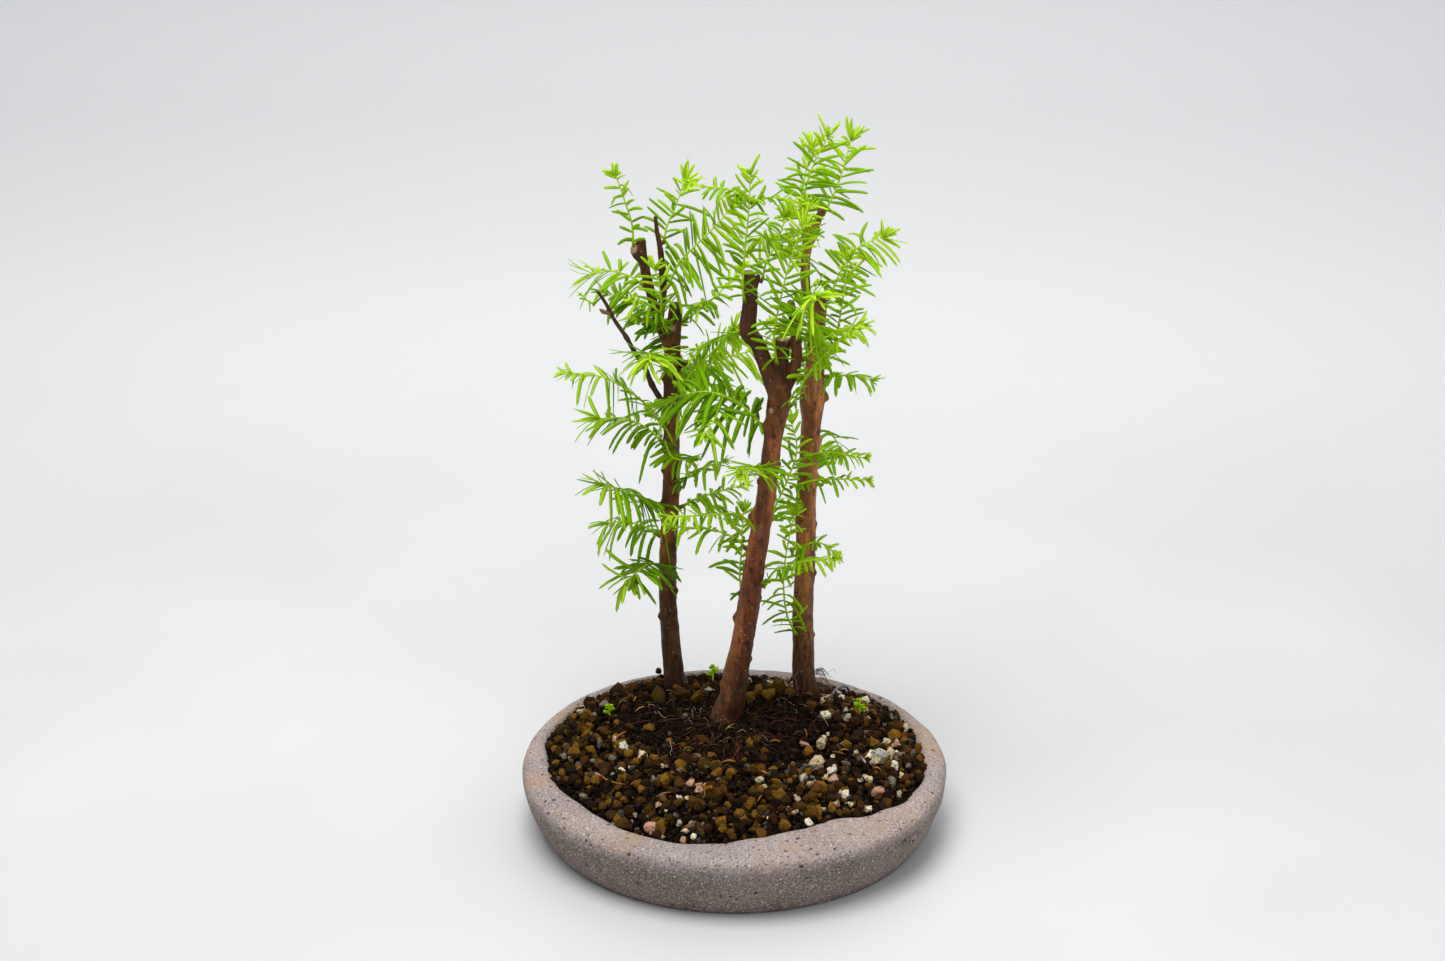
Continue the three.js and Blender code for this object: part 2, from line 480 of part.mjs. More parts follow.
function buildShoot({ name, tree, spec, stations, end }) {
  const half = STEM / 2;
  const corners = [];
  const faces = [];
  const add = (point) => corners.push(point.clone().sub(tree.planted)) - 1;
  const quad = (a, b, c, d) => faces.push([a, b, c], [a, c, d]);
  // Corner order of a ring: left top, left bottom, right bottom, right top.
  const rings = stations.map(({ at, across, flat }) => [[-1, 1], [-1, -1], [1, -1], [1, 1]].map(([x, y]) => (
    add(at.clone().addScaledVector(across, x * half).addScaledVector(flat, y * half)))));

  function needle(station, side, low, high) {
    const length = needleLength(spec.needle, station.needles);
    const frame = { ...station, at: station.middle };
    const { lean, middle, tip } = needleLine(frame, side, length);
    const root = frame.at.clone().addScaledVector(lean, STEM);
    if (!isClear(name, root, middle, NEEDLE_REACH) || !isClear(name, middle, tip, NEEDLE_REACH)) return false;
    addObstacle(name, root, middle, NEEDLE_REACH);
    addObstacle(name, middle, tip, NEEDLE_REACH);
    const width = frame.along.clone().addScaledVector(lean, -Math.cos(NEEDLE_ANGLE)).normalize();
    const belly = [[-1, 1], [-1, -1], [1, -1], [1, 1]].map(([w, t]) => add(middle.clone()
      .addScaledVector(width, (w * NEEDLE_WIDTH) / 2)
      .addScaledVector(frame.flat, (t * NEEDLE_THICKNESS) / 2)));
    const point = add(tip);
    const top = side < 0 ? 0 : 3;
    const bottom = side < 0 ? 1 : 2;
    const root4 = [low[top], low[bottom], high[bottom], high[top]];
    for (let k = 0; k < 4; k += 1) {
      const next = (k + 1) % 4;
      const wall = [root4[k], root4[next], belly[next], belly[k]];
      quad(...(side > 0 ? wall : wall.reverse()));
      faces.push(side > 0 ? [belly[k], belly[next], point] : [belly[next], belly[k], point]);
    }
    return true;
  }

  quad(rings[0][0], rings[0][1], rings[0][2], rings[0][3]);
  for (let i = 1; i < rings.length; i += 1) {
    const [low, high] = [rings[i - 1], rings[i]];
    const station = stations[i - 1];
    const grows = station.needles !== undefined;
    if (grows) station.middle = station.at.clone().lerp(stations[i].at, 0.5);
    if (!grows || !needle(station, -1, low, high)) quad(low[0], high[0], high[1], low[1]);
    quad(low[1], high[1], high[2], low[2]);
    if (!grows || !needle(station, 1, low, high)) quad(low[2], high[2], high[3], low[3]);
    quad(low[3], high[3], high[0], low[0]);
  }
  const crown = rings[rings.length - 1];
  const apex = add(end);
  for (let k = 0; k < 4; k += 1) faces.push([crown[k], apex, crown[(k + 1) % 4]]);

  const geometry = new THREE.BufferGeometry();
  geometry.setFromPoints(corners);
  geometry.setIndex(faces.flat());
  geometry.computeVertexNormals();
  return geometry;
}

// ---- Bare dead twig on the left tree ----
const TWIG = { limb: 'main', height: 184, route: [[-18, -5, 210], [-30, -9, 232], [-41, -13, 254]] };
const twigCurve = shootPath(trees.left, TWIG);
const twigPoints = [0, 0.02, 0.08, 0.3, 0.5, 0.62, 0.8, 1].map((u) => {
  const point = twigCurve.getPointAt(u).sub(trees.left.planted);
  return [point.x, point.y, point.z, THREE.MathUtils.lerp(TWIG_FOOT, TWIG_END, u)];
});
place('bare_twig', toGeometry(limbSolid({ sides: 6, points: twigPoints })), deadwood, trees.left.group);
twigPoints.slice(1).forEach(([x, y, z, radius], i) => {
  const [from, to] = [new THREE.Vector3(...twigPoints[i].slice(0, 3)), new THREE.Vector3(x, y, z)];
  addObstacle('bare_twig', from.add(trees.left.planted), to.add(trees.left.planted), radius + CLEARANCE);
});

// ---- Leafy shoots ----
const planned = [];
for (const [side, list] of Object.entries(shoots)) {
  list.forEach((spec, i) => {
    const name = `shoot_${side}_${String(i + 1).padStart(2, '0')}`;
    planned.push(layOut(name, trees[side], spec, shootPath(trees[side], spec)));
  });
}
for (const shoot of planned) place(shoot.name, buildShoot(shoot), foliage, shoot.tree.group);

// ---- Seedlings that came up in the soil ----
// [share of the soil's radius to the right, to the back, height over the rim]
const SEEDLINGS = { back: [-0.12, 0.8, 12], left: [-0.68, 0.38, 9], right: [0.68, 0.42, 10] };
const SEEDLING_ROOT = 6; // how far a seedling's stem goes down below the rim's level
for (const [side, [right, back, height]] of Object.entries(SEEDLINGS)) {
  const planted = planting(right, back);
  const stem = [[0, 0, -SEEDLING_ROOT, STEM_REACH], [0, 0, height, STEM_REACH]];
  const curve = new THREE.LineCurve3(...limbCurve(stem).points.map((point) => point.add(planted)));
  const tree = { planted, group: new THREE.Group() };
  tree.group.position.copy(planted);
  assembly.add(tree.group);
  const name = `seedling_${side}`;
  const spec = { needle: 6, face: FRONT, bare: SEEDLING_ROOT + height * 0.7 };
  place(name, buildShoot(layOut(name, tree, spec, curve)), foliage, tree.group);
  sockets.push(moved(limbSolid({ sides: 6, steps: 1, points: stem }, CLEARANCE), planted));
}

// ---- Anchor wire: a hoop beside the right trunk, with both legs down in the soil ----
const WIRE_ROUTE = [[12, -17, -16], [13, -16, -4], [15, -14, 8], [20, -9, 11], [25, -3, 7], [27, -1, -4],
  [28, 0, -16]];
const wirePath = limbCurve(WIRE_ROUTE);
function wireSolid(radius) {
  const section = new THREE.Shape().absarc(0, 0, radius, 0, Math.PI * 2);
  const route = { steps: 16, curveSegments: 4, extrudePath: wirePath };
  return facingOut(new THREE.ExtrudeGeometry(section, route));
}
place('anchor_wire', toGeometry(wireSolid(WIRE_RADIUS)), tieWire, trees.right.group);
const wireSole = new THREE.Vector3(0, 0, -CLEARANCE).add(trees.right.planted);
sockets.push(moved(wireSolid(WIRE_RADIUS + CLEARANCE), wireSole));

// ---- Soil: fills the bowl to just below the lip and mounds up towards the trees ----
const soilEdge = POT_HEIGHT - SOIL_BELOW_RIM;

function insideRadius(height) {
  const after = Math.max(1, inside.findIndex(([, z]) => z >= height));
  const [[r0, z0], [r1, z1]] = [inside[after - 1], inside[after]];
  return THREE.MathUtils.mapLinear(height, z0, z1, r0, r1);
}

function soilProfile() {
  const wall = inside.filter(([, z]) => z < soilEdge - 0.5).map(([r, z]) => [r - CLEARANCE, z + CLEARANCE]);
  const edge = insideRadius(soilEdge) - CLEARANCE;
  const surface = [1, 0.92, 0.8, 0.62, 0.4, 0.2, 0].map((share) => (
    [edge * share, soilEdge + MOUND * (1 - share ** 4)]));
  return [[0, FLOOR + CLEARANCE], ...wall, ...surface].reverse();
}

let soil = facingOut(pinched(turned(soilProfile())));
for (const cutter of [...screenCutters, ...sockets]) soil = soil.subtract(cutter);
const [body] = soil.decompose().sort((a, b) => b.volume() - a.volume()); // without the crumbs between roots
place('soil', toGeometry(body), earth);

export default assembly;
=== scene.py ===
"""Small forest bonsai in a shallow hand-pinched stoneware bowl: three slim trunks with soft flat needles."""
import math

import bmesh
import bpy
import numpy as np
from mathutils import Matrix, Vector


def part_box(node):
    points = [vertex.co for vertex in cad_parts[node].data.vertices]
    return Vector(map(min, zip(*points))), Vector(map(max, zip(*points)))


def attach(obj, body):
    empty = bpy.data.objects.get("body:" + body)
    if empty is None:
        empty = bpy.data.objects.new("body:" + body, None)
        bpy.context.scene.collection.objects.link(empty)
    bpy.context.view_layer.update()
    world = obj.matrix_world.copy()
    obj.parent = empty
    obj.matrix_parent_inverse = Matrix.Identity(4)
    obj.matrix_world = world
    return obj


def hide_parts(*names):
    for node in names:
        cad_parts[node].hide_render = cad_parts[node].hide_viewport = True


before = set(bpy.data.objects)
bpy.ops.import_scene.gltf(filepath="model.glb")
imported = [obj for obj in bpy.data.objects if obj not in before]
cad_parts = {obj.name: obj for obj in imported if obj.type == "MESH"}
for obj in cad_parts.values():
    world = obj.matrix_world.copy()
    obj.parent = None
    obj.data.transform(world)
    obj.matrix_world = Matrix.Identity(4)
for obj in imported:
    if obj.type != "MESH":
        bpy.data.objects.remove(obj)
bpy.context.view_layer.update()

MM = 0.001

# ---------------------------------------------------------------- camera
CAMERA_PLACE = (-0.0068, -1.4006, 0.7701)  # metres
CAMERA_PITCH = math.radians(21.9)  # below the horizon
CAMERA_LENS = 69.2


def set_camera():
    """A camera in front of the pot that looks down on it."""
    data = bpy.data.cameras.new("camera")
    data.lens = CAMERA_LENS
    data.clip_start = 0.05
    camera = bpy.data.objects.new("camera", data)
    camera.location = CAMERA_PLACE
    camera.rotation_euler = (math.pi / 2 - CAMERA_PITCH, 0, 0)
    bpy.context.collection.objects.link(camera)
    bpy.context.scene.camera = camera


# ---------------------------------------------------------------- numbers and curves
def smoothstep(value, low, high):
    """0 below low, 1 above high, and 3t^2 - 2t^3 between them."""
    t = np.clip((value - low) / (high - low), 0, 1)
    return t * t * (3 - 2 * t)


# Whole numbers that turn a lattice point and a seed into one number that looks random.
LATTICE_PRIMES = (73856093, 19349663, 83492791)
SEED_PRIME = 2654435761
MIX_PRIME = 1274126177
LOW_31_BITS = 0x7FFFFFFF
HALF_16_BITS = 32767.5
SEED_SHIFT = 37.0  # lattice steps between the noise of one seed and the next


def cloud(places, size, seed):
    """Value noise from -1 to 1: a random number at each point of a lattice, blended smoothly in between."""
    scaled = np.asarray(places, float) / size + SEED_SHIFT * seed
    cell = np.floor(scaled).astype(np.int64)
    part = scaled - cell
    part = part * part * (3 - 2 * part)
    total = np.zeros(scaled.shape[:-1])
    for corner in np.ndindex(2, 2, 2):
        mixed = (cell + corner) * LATTICE_PRIMES
        key = mixed[..., 0] ^ mixed[..., 1] ^ mixed[..., 2] ^ (seed * SEED_PRIME)
        key = ((key ^ (key >> 13)) * MIX_PRIME) & LOW_31_BITS
        value = (key ^ (key >> 16)) % 65536 / HALF_16_BITS - 1
        share = np.prod(np.where(corner, part, 1 - part), axis=-1)
        total += share * value
    return total


def billow(places, size, seed, layers=3):
    """Layers of value noise, each half as large and half as strong as the one before."""
    return sum(cloud(places, size / 2 ** i, seed + i) / 2 ** i for i in range(layers))


def bell(value, centre, width):
    """1 at the centre, falling as exp(-((value - centre) / width)^2) on both sides."""
    return np.exp(-((value - centre) / width) ** 2)


FINE_STEPS = 24  # taken along a path for each of its points


def smooth_path(points, count):
    """count places spaced evenly along a uniform Catmull-Rom spline through the points. What a point holds
    after its x, y and z, such as a radius, is carried along with them."""
    points = np.asarray(points, float)
    padded = np.vstack([2 * points[0] - points[1], points, 2 * points[-1] - points[-2]])
    t = np.linspace(0, len(points) - 1, FINE_STEPS * len(points))
    i = np.minimum(t.astype(int), len(points) - 2)
    s = (t - i)[:, None]
    a, b, c, d = (padded[i + k] for k in range(4))
    fine = 0.5 * (2 * b + (c - a) * s
                  + (2 * a - 5 * b + 4 * c - d) * s ** 2 + (3 * b - a - 3 * c + d) * s ** 3)
    run = np.concatenate([[0], np.cumsum(np.linalg.norm(np.diff(fine[:, :3], axis=0), axis=1))])
    even = np.linspace(0, run[-1], count)
    return np.stack([np.interp(even, run, fine[:, k]) for k in range(fine.shape[1])], axis=-1)


def unit(vectors):
    """The same directions with a length of 1."""
    return vectors / np.maximum(np.linalg.norm(vectors, axis=-1, keepdims=True), 1e-12)


def frames_along(path, facing):
    """Along, across and outward directions at each place of a path. Across is square to the path and to
    facing, and outward is square to both."""
    along = unit(np.gradient(path, axis=0))
    across = unit(np.cross(along, facing))
    return along, across, np.cross(across, along)


# ---------------------------------------------------------------- meshes
def make_piece(name, places, faces, material, tint=None, smooth=True):
    """A mesh object from arrays of places in metres, and of faces as rows of corner numbers."""
    mesh = bpy.data.meshes.new(name)
    mesh.vertices.add(len(places))
    mesh.vertices.foreach_set("co", np.asarray(places, np.float32).ravel())
    sides = faces.shape[1]
    mesh.loops.add(faces.size)
    mesh.loops.foreach_set("vertex_index", faces.astype(np.int32).ravel())
    mesh.polygons.add(len(faces))
    mesh.polygons.foreach_set("loop_start", np.arange(0, faces.size, sides, dtype=np.int32))
    mesh.polygons.foreach_set("use_smooth", np.full(len(faces), smooth))
    mesh.update(calc_edges=True)
    mesh.validate()
    if tint is not None:
        paint(mesh, tint)
    mesh.materials.append(material)
    piece = bpy.data.objects.new(name, mesh)
    bpy.context.collection.objects.link(piece)
    return piece


def paint(mesh, tint):
    """Stores a colour and a share at each corner point as the attribute called tint."""
    layer = mesh.color_attributes.new("tint", "FLOAT_COLOR", "POINT")
    layer.data.foreach_set("color", np.asarray(tint, np.float32).ravel())


def tube_faces(rings, sides):
    """Quads between neighbouring rings of points, closed round the sides."""
    ring, side = np.meshgrid(np.arange(rings - 1), np.arange(sides), indexing="ij")
    step = (side + 1) % sides
    return np.stack([ring * sides + side, ring * sides + step, (ring + 1) * sides + step,
                     (ring + 1) * sides + side], axis=-1).reshape(-1, 4)


def many(faces, count, stride):
    """The same faces for count copies of a shape of stride points."""
    return (faces[None] + (np.arange(count) * stride)[:, None, None]).reshape(-1, faces.shape[1])


SKEWED = (0.3, 1, 0.1)  # a direction that no tube that uses it runs in
END_CAP = 0.3  # how far a tube's last ring stands out past its end, as a share of the radius there


def tube(path, radii, sides, facing):
    """Rings of points round a path: centre + radius (cos a across + sin a outward). One more ring at each
    end shrinks to a point."""
    along, across, out = frames_along(path, np.asarray(facing, float))
    angle = np.linspace(0, 2 * math.pi, sides, endpoint=False)
    ring = np.cos(angle)[None, :, None] * across[:, None] + np.sin(angle)[None, :, None] * out[:, None]
    places = path[:, None] + ring * np.asarray(radii)[:, None, None]
    start = np.repeat(path[:1, None] - along[:1, None] * radii[0] * END_CAP, sides, axis=1)
    end = np.repeat(path[-1:, None] + along[-1:, None] * radii[-1] * END_CAP, sides, axis=1)
    return np.concatenate([start, places, end])


class Gather:
    """Collects shapes of the same kind of face into one mesh."""

    def __init__(self):
        self.places, self.faces, self.tints, self.count = [], [], [], 0

    def add(self, places, faces, tint):
        places = places.reshape(-1, 3)
        self.places.append(places)
        self.faces.append(faces + self.count)
        self.tints.append(np.broadcast_to(tint, (len(places), 4)))
        self.count += len(places)

    def tube(self, path, radii, sides, tint, facing=(0, 0, 1)):
        """Adds one tube in one tint, or in a tint for each of its points."""
        rings = tube(path, radii, sides, facing)
        self.add(rings, tube_faces(len(rings), sides), tint)

    def piece(self, name, material):
        places, faces, tints = (np.concatenate(part) for part in (self.places, self.faces, self.tints))
        return make_piece(name, places * MM, faces, material, tints)


def ship(piece, slot, *nodes):
    """The piece rides on the only body and stands for its plain solids. slot is not used."""
    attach(piece, "root")
    if nodes:
        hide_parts(*nodes)
    return piece


# ---------------------------------------------------------------- materials
class Finish:
    """A node material built step by step. Colours are linear."""

    def __init__(self, name, roughness, gloss=0.5, metal=0.0):
        self.material = bpy.data.materials.new(name)
        self.material.use_nodes = True
        self.tree = self.material.node_tree
        self.shader = self.tree.nodes["Principled BSDF"]
        for socket, value in (("Roughness", roughness), ("Specular IOR Level", gloss), ("Metallic", metal)):
            self.shader.inputs[socket].default_value = value
        self.place = self.node("ShaderNodeTexCoord").outputs["Object"]

    def node(self, kind, **settings):
        made = self.tree.nodes.new(kind)
        for key, value in settings.items():
            setattr(made, key, value)
        return made

    def wire(self, output, socket):
        self.tree.links.new(output, socket)

    def stretched(self, scale):
        """Places on the object, scaled along each axis."""
        mapping = self.node("ShaderNodeMapping")
        mapping.inputs["Scale"].default_value = scale
        self.wire(self.place, mapping.inputs["Vector"])
        return mapping.outputs["Vector"]

    def noise(self, scale, detail=3.0, stretch=(1, 1, 1), roughness=0.55):
        made = self.node("ShaderNodeTexNoise")
        made.inputs["Scale"].default_value = scale
        made.inputs["Detail"].default_value = detail
        made.inputs["Roughness"].default_value = roughness
        self.wire(self.stretched(stretch), made.inputs["Vector"])
        return made.outputs["Fac"]

    def cells(self, scale, stretch=(1, 1, 1)):
        """Distance to the nearest of scattered points, and a random colour for each."""
        made = self.node("ShaderNodeTexVoronoi")
        made.inputs["Scale"].default_value = scale
        self.wire(self.stretched(stretch), made.inputs["Vector"])
        return made.outputs["Distance"], made.outputs["Color"]

    def between(self, value, low, high, start=0.0, end=1.0):
        """start below low, end above high, and a smooth step between them."""
        made = self.node("ShaderNodeMapRange", interpolation_type="SMOOTHSTEP")
        for socket, number in zip(("From Min", "From Max", "To Min", "To Max"), (low, high, start, end)):
            made.inputs[socket].default_value = number
        self.wire(value, made.inputs["Value"])
        return made.outputs["Result"]

    def maths(self, kind, first, second):
        made = self.node("ShaderNodeMath", operation=kind)
        for socket, value in zip(made.inputs, (first, second)):
            if isinstance(value, (int, float)):
                socket.default_value = value
            else:
                self.wire(value, socket)
        return made.outputs[0]

    def plus(self, first, second, share):
        """first + share x second."""
        return self.maths("ADD", first, self.maths("MULTIPLY", second, share))

    def mix(self, share, first, second):
        made = self.node("ShaderNodeMix", data_type="RGBA")
        for socket, value in zip((made.inputs[0], made.inputs[6], made.inputs[7]), (share, first, second)):
            if isinstance(value, (int, float)):
                socket.default_value = value
            elif isinstance(value, tuple):
                socket.default_value = (*value, 1.0)
            else:
                self.wire(value, socket)
        return made.outputs[2]

    def tint(self):
        """The painted colour, and the share painted with it."""
        made = self.node("ShaderNodeVertexColor", layer_name="tint")
        return made.outputs["Color"], made.outputs["Alpha"]

    def colour(self, output):
        self.wire(output, self.shader.inputs["Base Color"])

    def rough(self, value, low, high):
        """Roughness from low to high as the value goes from 0.3 to 0.7."""
        self.wire(self.between(value, 0.3, 0.7, low, high), self.shader.inputs["Roughness"])

    def bumps(self, *layers):
        """Each layer is (height, depth in metres, strength)."""
        normal = None
        for height, depth, strength in layers:
            made = self.node("ShaderNodeBump")
            made.inputs["Distance"].default_value = depth
            made.inputs["Strength"].default_value = strength
            self.wire(height, made.inputs["Height"])
            if normal is not None:
                self.wire(normal, made.inputs["Normal"])
            normal = made.outputs["Normal"]
        self.wire(normal, self.shader.inputs["Normal"])


# Clay colours of the lip, lightened as painted light from above, and of the wall, darkened as painted shade
# under the lip.
LIP_CLAY_WITH_PAINTED_LIGHT = ((0.240, 0.185, 0.174), (0.325, 0.266, 0.260))
WALL_CLAY_WITH_PAINTED_SHADE = ((0.112, 0.079, 0.061), (0.168, 0.127, 0.108))
TAN_BLUSH = (0.330, 0.243, 0.178)
PALE_GRAIN = (0.44, 0.375, 0.35)
DARK_GRAIN = (0.075, 0.05, 0.038)
WHITE_GRIT = (0.66, 0.585, 0.58)
BROWN_GRIT = (0.07, 0.042, 0.03)
IRON_SPOT = (0.04, 0.02, 0.012)


def stoneware_finish():
    """Unglazed mauve-grey stoneware: cloudy body, pale grit, iron spots with small pits and tan staining.
    The lip is painted lighter, as painted light from above, and the wall below it browner and darker, as
    painted shade."""
    f = Finish("speckled stoneware", 0.78)
    tint, stain = f.tint()
    cloudy = f.between(f.noise(28, 4), 0.32, 0.68)
    lip = f.mix(cloudy, *LIP_CLAY_WITH_PAINTED_LIGHT)
    lip = f.mix(f.between(f.noise(16, 3), 0.45, 0.65, 0, 0.6), lip, TAN_BLUSH)
    # Painted shade by height: below the lip the wall takes the darker clay colours, the lip the lighter
    # ones.
    rise = f.node("ShaderNodeSeparateXYZ")
    f.wire(f.place, rise.inputs[0])
    body = f.mix(f.between(rise.outputs["Z"], 0.025, 0.037), f.mix(cloudy, *WALL_CLAY_WITH_PAINTED_SHADE), lip)
    fine = f.noise(900, 2)
    body = f.mix(f.between(fine, 0.5, 0.68, 0, 0.55), body, PALE_GRAIN)
    body = f.mix(f.between(fine, 0.32, 0.48, 0.65, 0), body, DARK_GRAIN)
    for scale, share in ((900, 0.8), (640, 0.85), (420, 0.7)):
        grit, random = f.cells(scale)
        ragged = f.plus(f.plus(grit, random, 0.42), fine, 0.35)
        body = f.mix(f.between(ragged, 0.42, 0.54, share, 0), body, WHITE_GRIT)
    dust, random = f.cells(420, (1, 1.1, 0.9))
    body = f.mix(f.between(f.plus(dust, random, 0.4), 0.28, 0.42, 0.75, 0), body, BROWN_GRIT)
    iron, random = f.cells(190)
    ragged = f.plus(f.plus(iron, random, 0.25), fine, 0.3)
    spots = f.maths("MULTIPLY", f.between(ragged, 0.37, 0.45, 1, 0), f.between(f.noise(45, 2), 0.34, 0.52))
    body = f.mix(spots, body, IRON_SPOT)
    f.colour(f.mix(stain, body, f.mix(0.6, body, tint)))
    f.rough(fine, 0.7, 0.88)
    f.bumps((f.noise(120, 3), 0.0008, 0.35), (f.maths("SUBTRACT", fine, spots), 0.0006, 0.7))
    return f.material


BARK_GROOVE = (0.012, 0.005, 0.003)
BARK_CRACK = (0.018, 0.008, 0.005)
BARK_FLAKE = (0.36, 0.17, 0.08)
BARK_SPECK = (0.50, 0.42, 0.36)
BARK_PORE = (0.020, 0.009, 0.006)


def bark_finish(name):
    """Bark: the painted tint with upright fibres, dark cracks and pores, pale flakes and scattered specks. A
    cut face keeps its painted tint."""
    f = Finish(name, 0.55, gloss=0.22)
    tint, cut = f.tint()
    fibres = f.noise(420, 4, (1, 1, 0.28))
    flakes = f.noise(900, 3, (1, 1, 0.45))
    cracks = f.noise(300, 5, (1, 1, 0.5), 0.7)
    body = f.mix(f.between(fibres, 0.3, 0.7, 0.7, 0), tint, f.mix(0.6, tint, BARK_GROOVE))
    body = f.mix(f.between(cracks, 0.34, 0.46, 0.8, 0), body, BARK_CRACK)
    body = f.mix(f.between(flakes, 0.58, 0.8, 0, 0.4), body, BARK_FLAKE)
    specks, _ = f.cells(520, (1, 1, 0.7))
    rare = f.between(f.noise(160, 2), 0.52, 0.64)
    body = f.mix(f.maths("MULTIPLY", f.between(specks, 0.10, 0.2, 0.8, 0), rare), body, BARK_SPECK)
    pores, _ = f.cells(330, (1, 1, 1.5))
    body = f.mix(f.between(pores, 0.12, 0.26, 0.75, 0), body, BARK_PORE)
    f.colour(f.mix(cut, body, tint))
    f.rough(flakes, 0.42, 0.7)
    f.bumps((cracks, 0.0008, 0.6), (fibres, 0.0006, 0.6), (flakes, 0.0003, 0.4))
    return f.material


VEIN_GREEN = (0.62, 0.86, 0.02)
GLOW_GREEN = (0.80, 0.98, 0.0)  # of the light that comes through a needle


def leaf_finish():
    """Soft needles: the painted green, paler streaks along them, and light that comes through them."""
    f = Finish("soft needles", 0.42, gloss=0.08)
    tint, _ = f.tint()
    body = f.mix(f.between(f.noise(700, 2), 0.35, 0.7, 0, 0.28), tint, f.mix(0.5, tint, VEIN_GREEN))
    f.colour(body)
    glow = f.node("ShaderNodeBsdfTranslucent")
    f.wire(f.mix(0.5, body, GLOW_GREEN), glow.inputs["Color"])
    both = f.node("ShaderNodeMixShader")
    both.inputs[0].default_value = 0.55
    f.wire(f.shader.outputs[0], both.inputs[1])
    f.wire(glow.outputs[0], both.inputs[2])
    f.wire(both.outputs[0], f.tree.nodes["Material Output"].inputs["Surface"])
    return f.material


GRAIN_SHADE = (0.02, 0.012, 0.006)
GRAIN_PORE = (0.02, 0.013, 0.008)
THREAD_SHADE = (0.02, 0.01, 0.005)
DAMP_EARTH = ((0.003, 0.0015, 0.001), (0.012, 0.006, 0.003))


def grain_finish(name, roughness, pore, pore_depth, dark=0.55, pore_dark=0.7):
    """Granules: each has its own painted tint, dulled by dusty patches and pitted by pores."""
    f = Finish(name, roughness, gloss=0.06)
    tint, _ = f.tint()
    body = f.mix(f.between(f.noise(650, 3), 0.35, 0.65, dark, 0), tint, f.mix(0.72, tint, GRAIN_SHADE))
    pores, _ = f.cells(pore)
    f.colour(f.mix(f.between(pores, 0.16, 0.34, pore_dark, 0), body, f.mix(0.85, body, GRAIN_PORE)))
    f.bumps((f.noise(1500, 3), 0.0004, 0.6), (pores, pore_depth, 0.6))
    return f.material


def thread_finish():
    """Roots and dead needles: the painted tint with fine mottling along them."""
    f = Finish("roots and fibres", 0.8, gloss=0.06)
    tint, _ = f.tint()
    f.colour(f.mix(f.between(f.noise(1200, 2), 0.35, 0.7, 0.6, 0), tint, f.mix(0.6, tint, THREAD_SHADE)))
    f.bumps((f.noise(1600, 2), 0.0002, 0.5))
    return f.material


def earth_finish():
    """Damp dark soil between the granules."""
    f = Finish("damp root mat", 0.92, gloss=0.04)
    dark = f.noise(420, 4)
    f.colour(f.mix(f.between(dark, 0.35, 0.68), *DAMP_EARTH))
    f.bumps((dark, 0.0012, 0.8), (f.noise(1400, 3), 0.0005, 0.7))
    return f.material


def screen_finish():
    """Black plastic, a little dulled in patches."""
    f = Finish("black plastic mesh", 0.5)
    worn = f.noise(500, 2)
    f.colour(f.mix(f.between(worn, 0.4, 0.7), (0.012, 0.012, 0.014), (0.03, 0.03, 0.034)))
    f.rough(worn, 0.42, 0.6)
    f.bumps((worn, 0.0002, 0.3))
    return f.material


def wire_finish():
    """Dull blue-grey aluminium wire."""
    f = Finish("anodised tie wire", 0.4, metal=0.85)
    worn = f.noise(700, 3)
    f.colour(f.mix(f.between(worn, 0.4, 0.7), (0.10, 0.13, 0.17), (0.22, 0.25, 0.28)))
    f.rough(worn, 0.32, 0.55)
    f.bumps((worn, 0.0002, 0.3))
    return f.material


# ---------------------------------------------------------------- sizes in millimetres
# The outer sizes are read from the frame. The others repeat those of the plain solids.
pot_low, pot_high = (np.array(corner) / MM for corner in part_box("pot"))
SOIL_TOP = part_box("soil")[1][2] / MM
RIM_RADIUS = (pot_high[0] - pot_low[0]) / 2
POT_HEIGHT = pot_high[2]
BASE_RADIUS = RIM_RADIUS - 11  # flat underside
LIP = 13  # how far the rolled lip reaches inwards
WALL = 9
FLOOR = 8
CLEARANCE = 0.3  # from the lip's inner edge to the soil
SOIL_EDGE = POT_HEIGHT - 3.5
MOUND = SOIL_TOP - SOIL_EDGE
HOLE_OFFSET = 45  # from the middle to each drainage hole
HOLE_RADIUS = 7

# The lip's inner edge is pinched by hand: degrees from +X, mm outside (+) or inside (-) of round.
PINCHES = np.array([
    (2, -1), (38, 3), (60, -1), (80, -3), (101, 1), (125, 5), (160, 3), (190, -4), (215, -8), (235, -7),
    (252, -7), (265, -11), (276, -16), (290, -19), (305, -19), (322, -10), (334, -2), (348, 1)], float)


def pinch_at(angle):
    """The pinch at an angle in radians: smoothly blended between the corners on both sides."""
    degrees = np.degrees(angle) % 360
    corner = np.concatenate([PINCHES[-1:] - [360, 0], PINCHES, PINCHES[:1] + [360, 0]])
    i = np.searchsorted(corner[:, 0], degrees, side="right") - 1
    share = (degrees - corner[i, 0]) / (corner[i + 1, 0] - corner[i, 0])
    share = share * share * (3 - 2 * share)
    return corner[i, 1] * (1 - share) + corner[i + 1, 1] * share


def pinch_share(radius, height):
    """All of the pinch on the lip's inner edge, none of it outside or low down."""
    return smoothstep(RIM_RADIUS - radius, 1, LIP) * smoothstep(height, FLOOR + 4, POT_HEIGHT - 3)


def lip_edge(angle):
    """Radius of the lip's inner edge."""
    return RIM_RADIUS - LIP + pinch_at(angle)


def around(radius, angle, height):
    """Places at a radius, an angle in radians and a height round the bowl's axis."""
    return np.stack([radius * np.cos(angle), radius * np.sin(angle), height], axis=-1)


def on_plane(x, y):
    """Places at height 0, where noise for the ground is read."""
    return np.stack([x, y, 0 * x], axis=-1)


